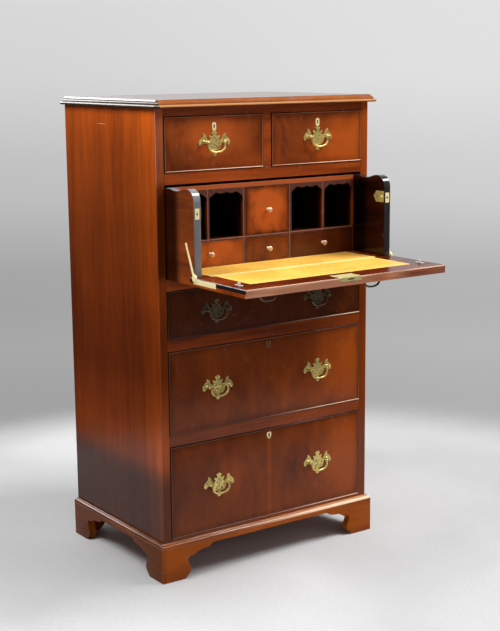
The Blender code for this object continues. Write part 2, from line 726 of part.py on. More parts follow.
def pigeonhole_nest(slide):
    """The nest: back, top, shelf, partitions and valances, open at the floor."""
    half = DESK_INNER_X - GAP
    high = (half, DESK_BACK_Y, NEST_TOP_UP)
    nest = box("pigeonhole_nest", (-half, 0, PIVOT_UP + GAP), high, WOOD, parent=slide)
    back = DESK_BACK_Y - NEST_BACK_T
    below = PIVOT_UP - CUT_OVERRUN
    shelf = PIVOT_UP + LOWER_DRAWER_H
    above = shelf + SHELF_T
    under_top = NEST_TOP_UP - NEST_TOP_T
    main = MAIN_PARTITION_X - MAIN_PARTITION_T / 2
    outer = half - NEST_SIDE_T
    cut_box(nest, "nest_drawer_centre", (-main, -CUT_OVERRUN, below), (main, back, shelf))
    cut_box(nest, "nest_drawer_tall", (-main, -CUT_OVERRUN, above), (main, back, under_top))
    for hand, side in HANDS:
        inner = MAIN_PARTITION_X + MAIN_PARTITION_T / 2
        xs = sorted((side * inner, side * outer))
        cut_box(nest, "nest_drawer_" + hand, (xs[0], -CUT_OVERRUN, below), (xs[1], back, shelf))
        holes = (
            ("inner", inner, THIN_PARTITION_X - THIN_PARTITION_T / 2),
            ("outer", THIN_PARTITION_X + THIN_PARTITION_T / 2, outer),
        )
        for which, near, far in holes:
            low, high = sorted((side * near, side * far))
            name = "pigeonhole_" + which + "_" + hand
            cut_box(nest, name, (low, VALANCE_T, above), (high, back, under_top))
            mouth = outline_mesh("cut_mouth", valance_cut(low, high, above), 2 * (VALANCE_T + GAP))
            boolean(nest, facing_front(part("cut_mouth_" + name, mouth, WOOD, (0, 0, 0), slide)))


def knob_mesh():
    """A small turned knob, its axis along Z, standing on the origin."""
    bm = bmesh.new()
    profile = [bm.verts.new((KNOB_R * out, 0, KNOB_L * up)) for out, up in KNOB_SHARES]
    for first, second in zip(profile, profile[1:]):
        bm.edges.new((first, second))
    mesh = bpy.data.meshes.new("knob")
    bm.to_mesh(mesh)
    bm.free()
    made = part("knob", mesh, BRASS, (0, 0, 0))
    screw = made.modifiers.new("turn", "SCREW")
    screw.steps = KNOB_STEPS
    screw.render_steps = KNOB_STEPS
    screw.use_merge_vertices = True
    screw.merge_threshold = MERGE_DISTANCE
    return shaded(evaluated_mesh(made, "knob"))


def small_drawer(name, x, z, width, height, knob, slide):
    """A small drawer of the nest, on its own slide, with its knob."""
    pull = joint("slide_" + name, (x, 0, z), slide)
    half = width / 2 - SMALL_CLEAR
    high = (half, SMALL_DEPTH, height - SMALL_CLEAR)
    tray = box(name, (-half, 0, GAP), high, FLAME, parent=pull)
    inner = half - SMALL_WALL_T
    low = (-inner, SMALL_FRONT_T, GAP + SMALL_WALL_T)
    high = (inner, SMALL_DEPTH - SMALL_WALL_T, height + CUT_OVERRUN)
    cut_box(tray, name + "_inside", low, high)
    facing_front(part("knob_" + name, knob, BRASS, (0, -GAP, height / 2), pull))


def writing_drawer(meshes):
    """The writing drawer, drawn out, with its fall and its nest."""
    slide = joint("slide_desk", (0, FRONT_Y, DESK_Z))
    half = DESK_INNER_X - GAP
    low = (-half, FALL_T + GAP - PIVOT_BACK, PIVOT_UP - DESK_FLOOR_T)
    floor = box("desk_floor", low, (half, DESK_BACK_Y, PIVOT_UP), WOOD, parent=slide)
    leather = FLOOR_LEATHER_W / 2
    low = (-leather, -PIVOT_BACK, PIVOT_UP - LEATHER_RECESS)
    cut_box(floor, "floor_leather", low, (leather, 0, PIVOT_UP + CUT_OVERRUN))
    for hand, side in HANDS:
        desk_side(hand, side, slide)
    fall_front(meshes, slide)
    pigeonhole_nest(slide)
    knob = knob_mesh()
    main = 2 * MAIN_PARTITION_X - MAIN_PARTITION_T
    inner = MAIN_PARTITION_X + MAIN_PARTITION_T / 2
    outer = half - NEST_SIDE_T
    above = LOWER_DRAWER_H + SHELF_T
    tall_h = NEST_TOP_UP - NEST_TOP_T - PIVOT_UP - above
    small_drawer("nest_drawer_centre", 0, PIVOT_UP, main, LOWER_DRAWER_H, knob, slide)
    small_drawer("nest_drawer_tall", 0, PIVOT_UP + above, main, tall_h, knob, slide)
    for hand, side in HANDS:
        x = side * (inner + outer) / 2
        small_drawer("nest_drawer_" + hand, x, PIVOT_UP, outer - inner, LOWER_DRAWER_H, knob, slide)


def build():
    """Model the whole chest."""
    carcase()
    bracket_plinth()
    meshes = drawers()
    writing_drawer(meshes)


build()
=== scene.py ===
"""Looks of a mahogany secretaire chest: its woods, brasses and leathers, and a pale studio.

The chest stands with its writing drawer drawn out and the fall let down. Every new piece is
a surface worked out with numpy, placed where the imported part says.
"""

import json
import math

import bmesh
import bpy
import numpy as np
from bpy.props import FloatProperty, FloatVectorProperty, PointerProperty
from mathutils import Matrix, Vector
from mathutils.geometry import tessellate_polygon

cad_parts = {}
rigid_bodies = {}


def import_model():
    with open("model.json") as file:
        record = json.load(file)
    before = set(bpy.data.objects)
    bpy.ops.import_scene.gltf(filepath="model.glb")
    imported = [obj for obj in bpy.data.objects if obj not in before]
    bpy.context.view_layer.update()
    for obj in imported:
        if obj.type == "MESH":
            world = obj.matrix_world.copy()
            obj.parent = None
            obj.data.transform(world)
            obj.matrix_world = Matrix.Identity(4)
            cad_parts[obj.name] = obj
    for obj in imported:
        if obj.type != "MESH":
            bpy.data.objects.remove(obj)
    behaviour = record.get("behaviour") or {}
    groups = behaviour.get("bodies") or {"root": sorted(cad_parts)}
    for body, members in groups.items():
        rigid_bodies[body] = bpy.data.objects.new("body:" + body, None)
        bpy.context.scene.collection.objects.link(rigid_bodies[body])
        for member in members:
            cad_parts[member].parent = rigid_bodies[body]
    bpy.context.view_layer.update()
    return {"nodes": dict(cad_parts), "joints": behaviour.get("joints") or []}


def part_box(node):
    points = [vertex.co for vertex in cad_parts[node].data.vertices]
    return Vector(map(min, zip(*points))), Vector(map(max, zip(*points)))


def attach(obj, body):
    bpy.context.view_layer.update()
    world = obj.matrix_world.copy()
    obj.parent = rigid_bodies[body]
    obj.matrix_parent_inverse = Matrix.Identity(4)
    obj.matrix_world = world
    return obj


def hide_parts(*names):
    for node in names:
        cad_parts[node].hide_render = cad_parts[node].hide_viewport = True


bl_info = {
    "name": "Secretaire chest",
    "version": (1, 0, 0),
    "blender": (4, 5, 0),
    "location": "3D View > Sidebar > Chest",
    "description": "Dresses the chest in polished mahogany, aged brass and writing leather",
    "category": "Object",
}

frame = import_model()

HANDS = (("left", -1), ("right", 1))
FRONT_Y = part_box("case_side_left")[0][1]
BACK_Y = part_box("case_side_left")[1][1]
HALF_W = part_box("case_side_right")[1][0]
DESK_TOP_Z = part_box("desk_fall")[1][2]
PIVOT = next(joint["pos_m"] for joint in frame["joints"] if joint["name"] == "fall_hinge")
NO_TRIS = np.zeros((0, 3), int)
X, Y, Z = 0, 1, 2
# Past the end of any board that a range of coordinates is meant to reach beyond
FAR = 1.0
MERGE = 0.00002


def scaled(colour, factor):
    """A colour times a number, or times a number for each channel."""
    return tuple(np.multiply(colour, factor))


def middle_of(low, high):
    """The point halfway between two corners."""
    return tuple((a + b) / 2 for a, b in zip(low, high))


# Forms: points, four-sided faces and triangles as arrays

def joined(*forms):
    """Several forms as one: points one after another, face numbers shifted by the points before."""
    points, quads, tris, start = [], [], [], 0
    for form_points, form_quads, form_tris in forms:
        points.append(form_points)
        quads.append(form_quads + start)
        tris.append(form_tris + start)
        start += len(form_points)
    return np.concatenate(points), np.concatenate(quads), np.concatenate(tris)


def grid_quads(rows, columns, close_rows=False, close_columns=False):
    """Faces of a grid of points: each joins a point, its neighbour across, and the two below."""
    down = np.arange(rows if close_rows else rows - 1)[:, None]
    across = np.arange(columns if close_columns else columns - 1)[None, :]
    here = down * columns + across
    right = down * columns + (across + 1) % columns
    below = (down + 1) % rows * columns + across
    both = (down + 1) % rows * columns + (across + 1) % columns
    return np.stack([here, right, both, below], axis=-1).reshape(-1, 4)


def smooth_ring(points, steps, closed=True):
    """A line through points as a cubic whose slope at each point is half the step across it."""
    points = np.asarray(points, float)
    if closed:
        before, after = np.roll(points, 1, 0), np.roll(points, -1, 0)
        beyond = np.roll(points, -2, 0)
    else:
        padded = np.concatenate([points[:1], points, points[-1:], points[-1:]])
        before, after, beyond = padded[:-3], padded[2:-1], padded[3:]
    t = (np.arange(steps) / steps)[None, :, None]
    a, b, c, d = (side[:, None, :] for side in (before, points, after, beyond))
    line = b + t * (c - a) / 2 + t ** 2 * (a - 2.5 * b + 2 * c - d / 2)
    line = line + t ** 3 * ((d - a) / 2 + 1.5 * (b - c))
    line = line.reshape(-1, points.shape[1])
    return line if closed else np.concatenate([line[: -steps], points[-1:]])


def turned_in(ring, distance):
    """A ring moved to its left by a distance, each point along the mean of its edges' normals."""
    step = np.roll(ring, -1, 0) - ring
    normal = np.stack([-step[:, 1], step[:, 0]], 1)
    normal /= np.maximum(np.linalg.norm(normal, axis=1, keepdims=True), 1e-9)
    mean = normal + np.roll(normal, 1, 0)
    mean /= np.maximum(np.linalg.norm(mean, axis=1, keepdims=True), 1e-9)
    share = np.clip((mean * normal).sum(1, keepdims=True), 0.5, 1)
    return ring + mean / share * distance


def anticlockwise(ring):
    """The ring, reversed where the area that it sweeps is negative."""
    ring = np.asarray(ring, float)
    after = np.roll(ring, -1, 0)
    area = (ring[:, 0] * after[:, 1] - after[:, 0] * ring[:, 1]).sum()
    return ring if area > 0 else ring[::-1]


def slab(outline, low, high, edge, holes=()):
    """A board of a given outline between two heights with rounded edges.

    A ring at angle a round the edge lies edge * (1 - sin a) inside the outline and
    edge * (1 - cos a) from the face; a hole's rings lie outside it by as much.
    """
    angles = np.radians([0, 22.5, 45, 67.5, 90])
    inset, rise = edge * (1 - np.sin(angles)), edge * (1 - np.cos(angles))
    levels = np.concatenate([low + rise, high - rise[::-1]])
    insets = np.concatenate([inset, inset[::-1]])
    rings = [anticlockwise(outline)] + [anticlockwise(hole)[::-1] for hole in holes]
    forms = []
    for ring in rings:
        rows = [np.column_stack([turned_in(ring, d), np.full(len(ring), h)])
                for d, h in zip(insets, levels)]
        forms.append((np.concatenate(rows), grid_quads(len(rows), len(ring), close_columns=True),
                      NO_TRIS))
    caps = [Vector((x, y, 0)) for ring in rings for x, y in turned_in(ring, edge)]
    counts = np.cumsum([0] + [len(ring) for ring in rings])
    lists = [caps[a:b] for a, b in zip(counts[:-1], counts[1:])]
    tris = np.array(tessellate_polygon(lists), int).reshape(-1, 3)
    starts = np.concatenate([[0], np.cumsum([len(form[0]) for form in forms])[:-1]])
    ring_of = np.searchsorted(counts, tris, side="right") - 1
    within = tris - counts[ring_of]
    sizes = np.array([len(ring) for ring in rings])
    foot = starts[ring_of] + within
    head = foot + sizes[ring_of] * (len(levels) - 1)
    points, quads, _ = joined(*forms)
    return points, quads, np.concatenate([foot[:, ::-1], head])


def rectangle(x0, y0, x1, y1, radius=0.0, steps=4):
    """A rectangle's outline, its corners quarter circles of a radius."""
    if radius <= 0:
        return np.array([(x0, y0), (x1, y0), (x1, y1), (x0, y1)], float)
    angle = np.linspace(0, np.pi / 2, steps + 1)
    corner = radius * np.stack([np.cos(angle), np.sin(angle)], 1)
    turn = np.array([[0, -1], [1, 0]])
    rows, spots = [], ((x1, y1), (x0, y1), (x0, y0), (x1, y0))
    for spot, (sx, sy) in zip(spots, ((-1, -1), (1, -1), (1, 1), (-1, 1))):
        rows.append(corner + (spot[0] + sx * radius, spot[1] + sy * radius))
        corner = corner @ turn.T
    return np.concatenate(rows)


def disc(x, y, radius, steps=24):
    """A circle's outline."""
    angle = np.linspace(0, 2 * np.pi, steps, endpoint=False)
    return np.stack([x + radius * np.cos(angle), y + radius * np.sin(angle)], 1)


def lathe(profile, steps):
    """A profile of radius and height carried round the third axis."""
    profile = np.asarray(profile, float)
    angle = np.linspace(0, 2 * np.pi, steps, endpoint=False)
    x = profile[:, :1] * np.cos(angle)
    y = profile[:, :1] * np.sin(angle)
    z = np.repeat(profile[:, 1:], steps, 1)
    points = np.stack([x, y, z], -1).reshape(-1, 3)
    return points, grid_quads(len(profile), steps, close_columns=True), NO_TRIS


def tube(path, radii, sides):
    """A round wire along a line in the plane of the first and third axes.

    A point at angle a stands off the line by radius * (cos a * across + sin a * second axis),
    where across is the line's direction turned a quarter; both ends close to a point.
    """
    path = np.asarray(path, float)
    path = np.concatenate([path[:1], path, path[-1:]])
    radii = np.concatenate([[0], radii, [0]])
    step = np.gradient(path, axis=0)
    step[0], step[-1] = step[1], step[-2]
    step /= np.maximum(np.linalg.norm(step, axis=1, keepdims=True), 1e-9)
    across = np.stack([-step[:, 2], np.zeros(len(step)), step[:, 0]], 1)
    angle = np.linspace(0, 2 * np.pi, sides, endpoint=False)
    off = np.cos(angle)[None, :, None] * across[:, None, :]
    off = off + np.sin(angle)[None, :, None] * np.array([0.0, 1.0, 0.0])
    points = path[:, None, :] + radii[:, None, None] * off
    quads = grid_quads(len(path), sides, close_columns=True)
    return points.reshape(-1, 3), quads, NO_TRIS


def rings_round(corners, lean, profile, close_rows=False, close_columns=True):
    """A profile of projection and height carried round four corners.

    A point is its corner plus its projection times the corner's lean, at its height.
    """
    profile = np.asarray(profile, float)
    spread = corners[None] + profile[:, :1, None] * lean[None]
    height = np.repeat(profile[:, 1:, None], len(corners), 1)
    points = np.concatenate([spread, height], -1).reshape(-1, 3)
    return points, grid_quads(len(profile), len(corners), close_rows, close_columns), NO_TRIS


def capped(form, ring_size):
    """A form of rings of four with a face over its first and its last ring."""
    points, quads, tris = form
    ends = np.array([np.arange(ring_size)[::-1], np.arange(len(points) - ring_size, len(points))])
    return points, np.concatenate([quads, ends]), tris


def fan(indices):
    """Triangles from the first of a row of points to each pair after it."""
    rest = np.asarray(indices[1:])
    return np.stack([np.full(len(rest) - 1, indices[0]), rest[:-1], rest[1:]], 1)


def to_front(form, y=0.0, way=1):
    """Turn a form whose outline is in the first two axes to face the front, or with way -1 the
    other way about: its height is laid along the second axis."""
    points, quads, tris = form
    return np.stack([points[:, 0], y + way * points[:, 2], points[:, 1]], 1), quads, tris


def to_side(form, x=0.0, way=1):
    """Turn a form the same way to lie along a side: its height is laid along the first axis."""
    points, quads, tris = form
    return np.stack([x + way * points[:, 2], points[:, 0], points[:, 1]], 1), quads, tris


def moved(form, x=0.0, y=0.0, z=0.0):
    """A form at another place."""
    points, quads, tris = form
    return points + np.array([x, y, z]), quads, tris


def shown(name, mesh, material, body, replaces, sharp):
    """An object from a mesh, smooth between its sharp edges, riding on a body of the chest."""
    mesh.shade_smooth()
    mesh.set_sharp_from_angle(angle=math.radians(sharp))
    mesh.materials.append(material)
    made = bpy.data.objects.new(name, mesh)
    bpy.context.scene.collection.objects.link(made)
    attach(made, body)
    if replaces:
        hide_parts(*replaces)
    return made


def piece(name, form, material, body, replaces=(), sharp=35):
    """A piece from a form, its place in its mesh, its points merged and its faces outwards."""
    points, quads, tris = form
    corners = np.concatenate([quads.ravel(), tris.ravel()]).astype(np.int32)
    counts = np.concatenate([np.full(len(quads), 4), np.full(len(tris), 3)]).astype(np.int32)
    mesh = bpy.data.meshes.new(name)
    mesh.vertices.add(len(points))
    mesh.vertices.foreach_set("co", np.ascontiguousarray(points, np.float32).ravel())
    mesh.loops.add(len(corners))
    mesh.loops.foreach_set("vertex_index", corners)
    mesh.polygons.add(len(counts))
    mesh.polygons.foreach_set("loop_start", (np.cumsum(counts) - counts).astype(np.int32))
    mesh.update(calc_edges=True)
    mesh.validate()
    bm = bmesh.new()
    bm.from_mesh(mesh)
    bmesh.ops.remove_doubles(bm, verts=bm.verts, dist=MERGE / 10)
    bmesh.ops.dissolve_degenerate(bm, dist=MERGE / 20, edges=bm.edges)
    bmesh.ops.recalc_face_normals(bm, faces=bm.faces)
    bm.to_mesh(mesh)
    bm.free()
    return shown(name, mesh, material, body, replaces, sharp)


def fitting(name, form, body, tone="pale_brass", replaces=(), sharp=35):
    """A piece of brass, or a black patch of painted shade in it."""
    return piece(name, form, metal(tone), body, replaces, sharp)


def bevelled(board, width, segments):
    """Round a board's corners."""
    bevel = board.modifiers.new("worn edges", "BEVEL")
    bevel.width = width
    bevel.segments = segments
    bevel.limit_method = "ANGLE"
    bevel.angle_limit = math.radians(50)
    bevel.harden_normals = True


def smoothed(node, name, material, body, width):
    """A merged copy in place of a board: its curves shaded smooth and its corners rounded."""
    bm = bmesh.new()
    bm.from_mesh(frame["nodes"][node].data)
    bmesh.ops.remove_doubles(bm, verts=bm.verts, dist=MERGE)
    bmesh.ops.dissolve_limit(bm, angle_limit=math.radians(1), verts=bm.verts, edges=bm.edges)
    mesh = bpy.data.meshes.new(name)
    bm.to_mesh(mesh)
    bm.free()
    bevelled(shown(name, mesh, material, body, [node], 35), width, 3)


def finished(node, material, width=0.0006):
    """Give one of the part's own boards a finish and, where it has a width, rounded corners."""
    board = frame["nodes"][node]
    if width:
        board.modifiers.new("one skin", "WELD").merge_threshold = MERGE
        bevelled(board, width, 2)
    board.material_slots[0].material = material


# Finishes

MIRROR_ROUGH = 0.10


def sum_of(operation):
    """A method that adds one kind of sum on numbers or sockets."""
    def method(self, *values):
        return self.add("Math", dict(enumerate(values)), operation=operation)
    return method


class Nodes:
    """A node tree, with a short name for each node that the finishes are built from."""
    plus, less, times = sum_of("ADD"), sum_of("SUBTRACT"), sum_of("MULTIPLY")
    times_plus, size, root = sum_of("MULTIPLY_ADD"), sum_of("ABSOLUTE"), sum_of("SQRT")
    most, least, rounded_least = sum_of("MAXIMUM"), sum_of("MINIMUM"), sum_of("SMOOTH_MIN")

    def __init__(self, tree):
        self.tree = tree

    def put(self, socket, value):
        """Set an input to a value or link it to another node's socket."""
        if isinstance(value, bpy.types.NodeSocket):
            self.tree.links.new(value, socket)
        else:
            socket.default_value = value

    def node(self, kind, inputs=None, **settings):
        """A node with its settings and inputs."""
        made = self.tree.nodes.new("ShaderNode" + kind)
        for key, value in settings.items():
            setattr(made, key, value)
        for key, value in (inputs or {}).items():
            self.put(made.inputs[key], value)
        return made

    def add(self, kind, inputs=None, output=0, **settings):
        """What a new node gives out."""
        return self.node(kind, inputs, **settings).outputs[output]

    def parts(self, place):
        """A place's three coordinates."""
        return self.node("SeparateXYZ", {"Vector": place}).outputs

    def distance(self, x, y):
        """The root of the sum of two squares."""
        return self.root(self.plus(self.times(x, x), self.times(y, y)))

    def spread(self, value, low, high, to_low=0.0, to_high=1.0, smooth=True):
        """A number stretched from one range to another, held at its ends."""
        inputs = {"Value": value, "From Min": low, "From Max": high,
                  "To Min": to_low, "To Max": to_high}
        kind = "SMOOTHSTEP" if smooth else "LINEAR"
        return self.add("MapRange", inputs, interpolation_type=kind)

    def noise(self, place, scale, detail=2.0, warp=0.0, rough=0.5):
        """Cloudy noise at a place."""
        return self.add("TexNoise", {"Vector": place, "Scale": scale, "Detail": detail,
                                     "Distortion": warp, "Roughness": rough})

    def toned(self, value, stops):
        """A number turned to a colour by a ramp."""
        node = self.node("ValToRGB", {"Fac": value})
        ramp = node.color_ramp
        for element, (position, colour) in zip(ramp.elements, (stops[0], stops[-1])):
            element.position = position
            element.color = (*colour, 1)
        for position, colour in stops[1:-1]:
            ramp.elements.new(position).color = (*colour, 1)
        return node.outputs[0]

    def mixed(self, share, first, second, how="MIX"):
        """Two colours mixed by a share."""
        first, second = (tone if isinstance(tone, bpy.types.NodeSocket) else (*tone, 1)
                         for tone in (first, second))
        return self.add("Mix", {0: share, 6: first, 7: second}, 2, data_type="RGBA",
                        blend_type=how)

    def brighter(self, colour, scale):
        """A colour times a number or a socket."""
        return self.add("VectorMath", {0: colour, "Scale": scale}, operation="SCALE")

    def stretched(self, place, along, squeeze, shift):
        """Coordinates drawn out along one axis, moved so that boards differ."""
        scale = [1.0, 1.0, 1.0]
        scale[along] = squeeze
        return self.add("Mapping", {"Vector": place, "Scale": scale,
                                    "Location": (shift, shift * 0.7, shift * 1.3)})

    def centred(self, place, low, high):
        """A place's coordinates counted from the middle of a box."""
        middle = [-value for value in middle_of(low, high)]
        return self.parts(self.add("Mapping", {"Vector": place, "Location": middle}))

    def inside(self, parts, ranges):
        """One where each coordinate lies in its range; it fades to nothing over a softness."""
        share = 1.0
        for axis, low, high, soft in ranges:
            rise = self.spread(parts[axis], low - soft, low)
            drop = self.spread(parts[axis], high, high + soft, 1.0, 0.0)
            share = self.times(share, self.times(rise, drop))
        return share

    def pored(self, colour, dark, place, along, squeeze, shift, scale, start, depth):
        """A colour with fine dark pores drawn out along the grain, and the pores."""
        fine = self.stretched(place, along, squeeze, shift)
        pores = self.spread(self.noise(fine, scale, 1.0), start, start + 0.14)
        return self.mixed(self.times(pores, depth), colour, scaled(dark, 0.35)), pores

    def paint(self, colour, rough, relief=None, strength=0.2, depth=0.0004, shine=0.5, metal=0.0):
        """Lay a colour, a roughness and a relief on the shader; shine and metal are numbers."""
        shader = self.tree.nodes["Principled BSDF"]
        self.put(shader.inputs["Base Color"], colour)
        self.put(shader.inputs["Roughness"], rough)
        shader.inputs["Specular IOR Level"].default_value = shine
        shader.inputs["Metallic"].default_value = metal
        if relief is not None:
            bump = {"Strength": strength, "Distance": depth, "Height": relief}
            self.put(shader.inputs["Normal"], self.add("Bump", bump))
        return shader


def fresh(name):
    """An empty material, its nodes and the place on the object."""
    material = bpy.data.materials.new(name)
    material.use_nodes = True
    nodes = Nodes(material.node_tree)
    return material, nodes, nodes.add("TexCoord", output="Object")


def timber(name, dark, light, along, shift=0.0, gloss=0.3, contrast=1.0, tints=(), mirror=(),
           shine=0.32, shade=()):
    """Polished timber: broad bands, streaks and pores drawn out along the grain.

    A tint is ranges of coordinates, a colour and how it is laid on there; WORN lays it on
    in streaks, for real wear in some places and for painted highlights and painted sheen in others.
    mirror holds ranges where the polish is flat and smooth, and how smooth it is.
    shade holds heights, upwards, and how light the timber is there: painted light and shade.
    """
    material, n, place = fresh(name)
    long = n.stretched(place, along, 0.07, shift)
    bands = n.noise(long, 13.0, 3.0, 0.8)
    streaks = n.noise(long, 75.0, 3.0, 0.3)
    blend = n.times_plus(streaks, 0.3, n.times(bands, 0.5))
    blend = n.times_plus(n.noise(place, 5.0, 2.0), 0.2, blend)
    reach = 0.16 / contrast
    colour = n.toned(n.spread(blend, 0.5 - reach, 0.5 + reach, smooth=False),
                     ((0.0, dark), (0.5, middle_of(dark, light)), (1.0, light)))
    colour, pores = n.pored(colour, dark, place, along, 0.02, shift + 3.1, 900.0, 0.60, 0.45)
    parts = n.parts(place)
    for ranges, tone, how in tints:
        share = n.inside(parts, ranges)
        if how == "WORN":
            share = n.times(share, n.spread(streaks, 0.38, 0.60, 0.45, 1.0))
            how = "MIX"
        colour = n.mixed(share, colour, tone, how)
    if shade:
        low, high = shade[0][0], shade[-1][0]
        stops = [((z - low) / (high - low), (tone / 2,) * 3) for z, tone in shade]
        lights = n.toned(n.spread(parts[Z], low, high, smooth=False), stops)
        colour = n.mixed(1.0, colour, n.brighter(lights, 2.0), "MULTIPLY")
    calm = 0.0
    for ranges, share in mirror:
        calm = n.most(calm, n.times(n.inside(parts, ranges), share))
    polish(n, place, colour, pores, gloss, calm, shine)
    return material


def polish(n, place, colour, pores, gloss, calm, shine):
    """Waxed polish: smears and dull spots in its gloss, pores sunk a little."""
    smears = n.noise(place, 22.0, 4.0, 1.5, 0.6)
    rough = n.spread(smears, 0.3, 0.75, gloss * 0.8, gloss * 1.35, smooth=False)
    rough = n.times_plus(pores, 0.12, rough)
    lively = n.less(1.0, calm)
    rough = n.times_plus(calm, MIRROR_ROUGH, n.times(rough, lively))
    ripple = n.times_plus(pores, -0.5, n.times(smears, 0.5))
    ripple = n.times(ripple, n.times_plus(lively, 0.96, 0.04))
    n.paint(colour, rough, ripple, 0.12, shine=shine)


def veneer(name, low, high, margin, dark, light, shift=0.0, matched=False, gloss=0.27, glows=(),
           edge=0.020, soft=0.40, stripe=0.0, shine=0.32, rim_shade=0.34):
    """Figured veneer on a front: soft flames, darker towards the edges of the board.

    The figure is mirrored about the middle where two leaves meet. Each patch in the list is a
    place across, a place up, a reach and a strength for a brighter or, below nothing, a darker
    patch: brighter figure on some fronts, and painted light and painted shade at the ends of the
    long drawers; stripe is the strength of a pale streak up the middle. margin is what a bead hides
    of the front.
    """
    material, n, place = fresh(name)
    across, _, up = n.centred(place, low, high)
    away = n.size(across)
    leaf = n.add("CombineXYZ", {0: away if matched else across, 1: up})
    figure = n.add("Mapping", {"Vector": leaf, "Location": (shift, shift * 0.6, shift),
                               "Scale": (1.0, 0.55, 1.0)})
    flames = n.noise(figure, 11.0, 3.0, 1.6)
    curls = n.noise(figure, 38.0, 3.0, 0.8)
    blend = n.times_plus(curls, 0.25, n.times(flames, 0.75))
    tone = n.spread(blend, 0.5 - soft, 0.5 + soft, smooth=False)
    if stripe:
        wander = n.times_plus(curls, 0.004, away)
        tone = n.plus(tone, n.spread(wander, 0.003, 0.011, stripe, 0.0))
    for patch_x, patch_z, reach, strength in glows:
        far = n.distance(n.less(n.times_plus(curls, 0.05, across), patch_x + 0.025),
                         n.less(up, patch_z))
        tone = n.plus(tone, n.spread(far, 0.0, reach, strength, 0.0))
    half_tone = tuple(0.45 * a + 0.55 * b for a, b in zip(dark, light))
    colour = n.toned(tone, ((0.0, dark), (0.55, half_tone), (1.0, light)))
    rim = n.rounded_least(n.less((high[0] - low[0]) / 2 - margin, away),
                          n.less((high[2] - low[2]) / 2 - margin, n.size(up)), 0.01)
    worn = n.times_plus(n.noise(figure, 26.0, 2.0), 0.02, rim)
    colour = n.mixed(n.spread(worn, 0.008, 0.010 + edge, rim_shade, 0.0), colour,
                     scaled(dark, 0.28))
    if matched:
        colour = n.mixed(n.spread(away, 0.0003, 0.0009, 0.3, 0.0), colour, scaled(dark, 0.4))
    colour, pores = n.pored(colour, dark, place, Z, 0.03, shift + 1.7, 1000.0, 0.62, 0.35)
    polish(n, place, colour, pores, gloss, 0.0, shine)
    return material


def brass(name, bright, dull, gloss, tarnish, share):
    """Aged brass: bright where it is rubbed, browner where dirt has stayed.

    share is how much of it is bare metal, and tarnish how much dirt it has.
    """
    material, n, place = fresh(name)
    patches = n.noise(place, 140.0, 4.0, 0.6, 0.6)
    blend = n.times_plus(n.noise(place, 900.0, 2.0), 0.3, n.times(patches, 0.7))
    dents = n.times_plus(n.noise(place, 260.0, 2.0), 2.0, blend)
    n.paint(n.mixed(n.spread(blend, 0.42, 0.62, 0.0, tarnish), bright, dull),
            n.spread(blend, 0.3, 0.7, gloss, gloss + 0.22), dents, metal=share)
    return material


def hide(name, colour, line, low, high, inset, joint):
    """Writing leather with a tooled line near its edges; joint is a pale turned edge in front."""
    material, n, place = fresh(name)
    across, deep, _ = n.centred(place, low, high)
    half_x, half_y = (high[0] - low[0]) / 2, (high[1] - low[1]) / 2
    rim = n.least(n.less(half_x, n.size(across)), n.less(half_y, n.size(deep)))
    cloud = n.noise(place, 9.0, 3.0, 0.6)
    mottle = n.noise(place, 120.0, 4.0)
    share = n.times_plus(mottle, 0.4, n.times(cloud, 0.6))
    dark = scaled(colour, (0.84, 0.72, 0.5))
    body = n.mixed(n.spread(share, 0.35, 0.65), colour, dark)
    offset = n.size(n.less(rim, inset))
    body = n.mixed(n.spread(offset, 0.0006, 0.0014, 0.55, 0.0), body, line)
    body = n.mixed(n.spread(rim, 0.0, 0.004, 0.35, 0.0), body, dark)
    if joint:
        body = n.mixed(n.spread(n.plus(deep, half_y), joint * 0.6, joint, 0.9, 0.0), body, line)
    cells = n.add("TexVoronoi", {"Vector": place, "Scale": 950.0}, feature="SMOOTH_F1")
    n.paint(body, n.spread(mottle, 0.3, 0.7, 0.42, 0.58), cells, 0.25, 0.0003, 0.35)
    return material


def plain(name, colour, rough):
    """A dull finish with a slight speckle."""
    material, n, place = fresh(name)
    n.paint(n.mixed(n.noise(place, 400.0, 3.0), colour, scaled(colour, 0.6)), rough)
    return material


FINISHES = {}


def finish(name, make, *values, **settings):
    """A finish, made once and kept by name."""
    if name not in FINISHES:
        FINISHES[name] = make(name, *values, **settings)
    return FINISHES[name]


# Sizes and colours that a user would change

def colour_setting(name, description, default):
    """A colour in the sidebar."""
    return FloatVectorProperty(name=name, description=description, default=default,
                               subtype="COLOR", size=3, min=0.0, max=1.0)


def length_setting(name, description, default):
    """A length in the sidebar, in metres."""
    return FloatProperty(name=name, description=description, default=default,
                         unit="LENGTH", min=0.0, precision=4)


def power_setting(name, description, default):
    """A lamp's power in the sidebar."""
    return FloatProperty(name=name, description=description, default=default, unit="POWER",
                         min=0.0)


class ChestWoods(bpy.types.PropertyGroup):
    """Colours of the woods."""
    case_dark: colour_setting("Case, dark", "Dark streaks of the carcase", (0.085, 0.013, 0.0025))
    case_light: colour_setting("Case, light", "Light streaks of the carcase", (0.38, 0.068, 0.006))
    front_dark: colour_setting("Fronts, dark", "Dark figure of the veneer", (0.075, 0.015, 0.004))
    front_light: colour_setting("Fronts, light", "Light figure of the veneer", (0.32, 0.060, 0.006))
    glow: colour_setting("Small drawers", "Brightest figure of the small drawers",
                         (0.40, 0.080, 0.010))
    base_dark: colour_setting("Base, dark", "Dark streaks of the plinth", (0.17, 0.033, 0.003))
    base_light: colour_setting("Base, light", "Light streaks of the plinth", (0.50, 0.108, 0.006))
    # It also gives the painted shade of the gaps round the drawer beads
    black: colour_setting("Edges", "Stained edges of the writing drawer", (0.012, 0.009, 0.009))
    lining: colour_setting("Lining", "Plain wood of the drawer boxes", (0.42, 0.25, 0.12))
    gloss: FloatProperty(name="Polish", description="Roughness of the polish", default=0.22,
                         min=0.05, max=0.9, subtype="FACTOR")


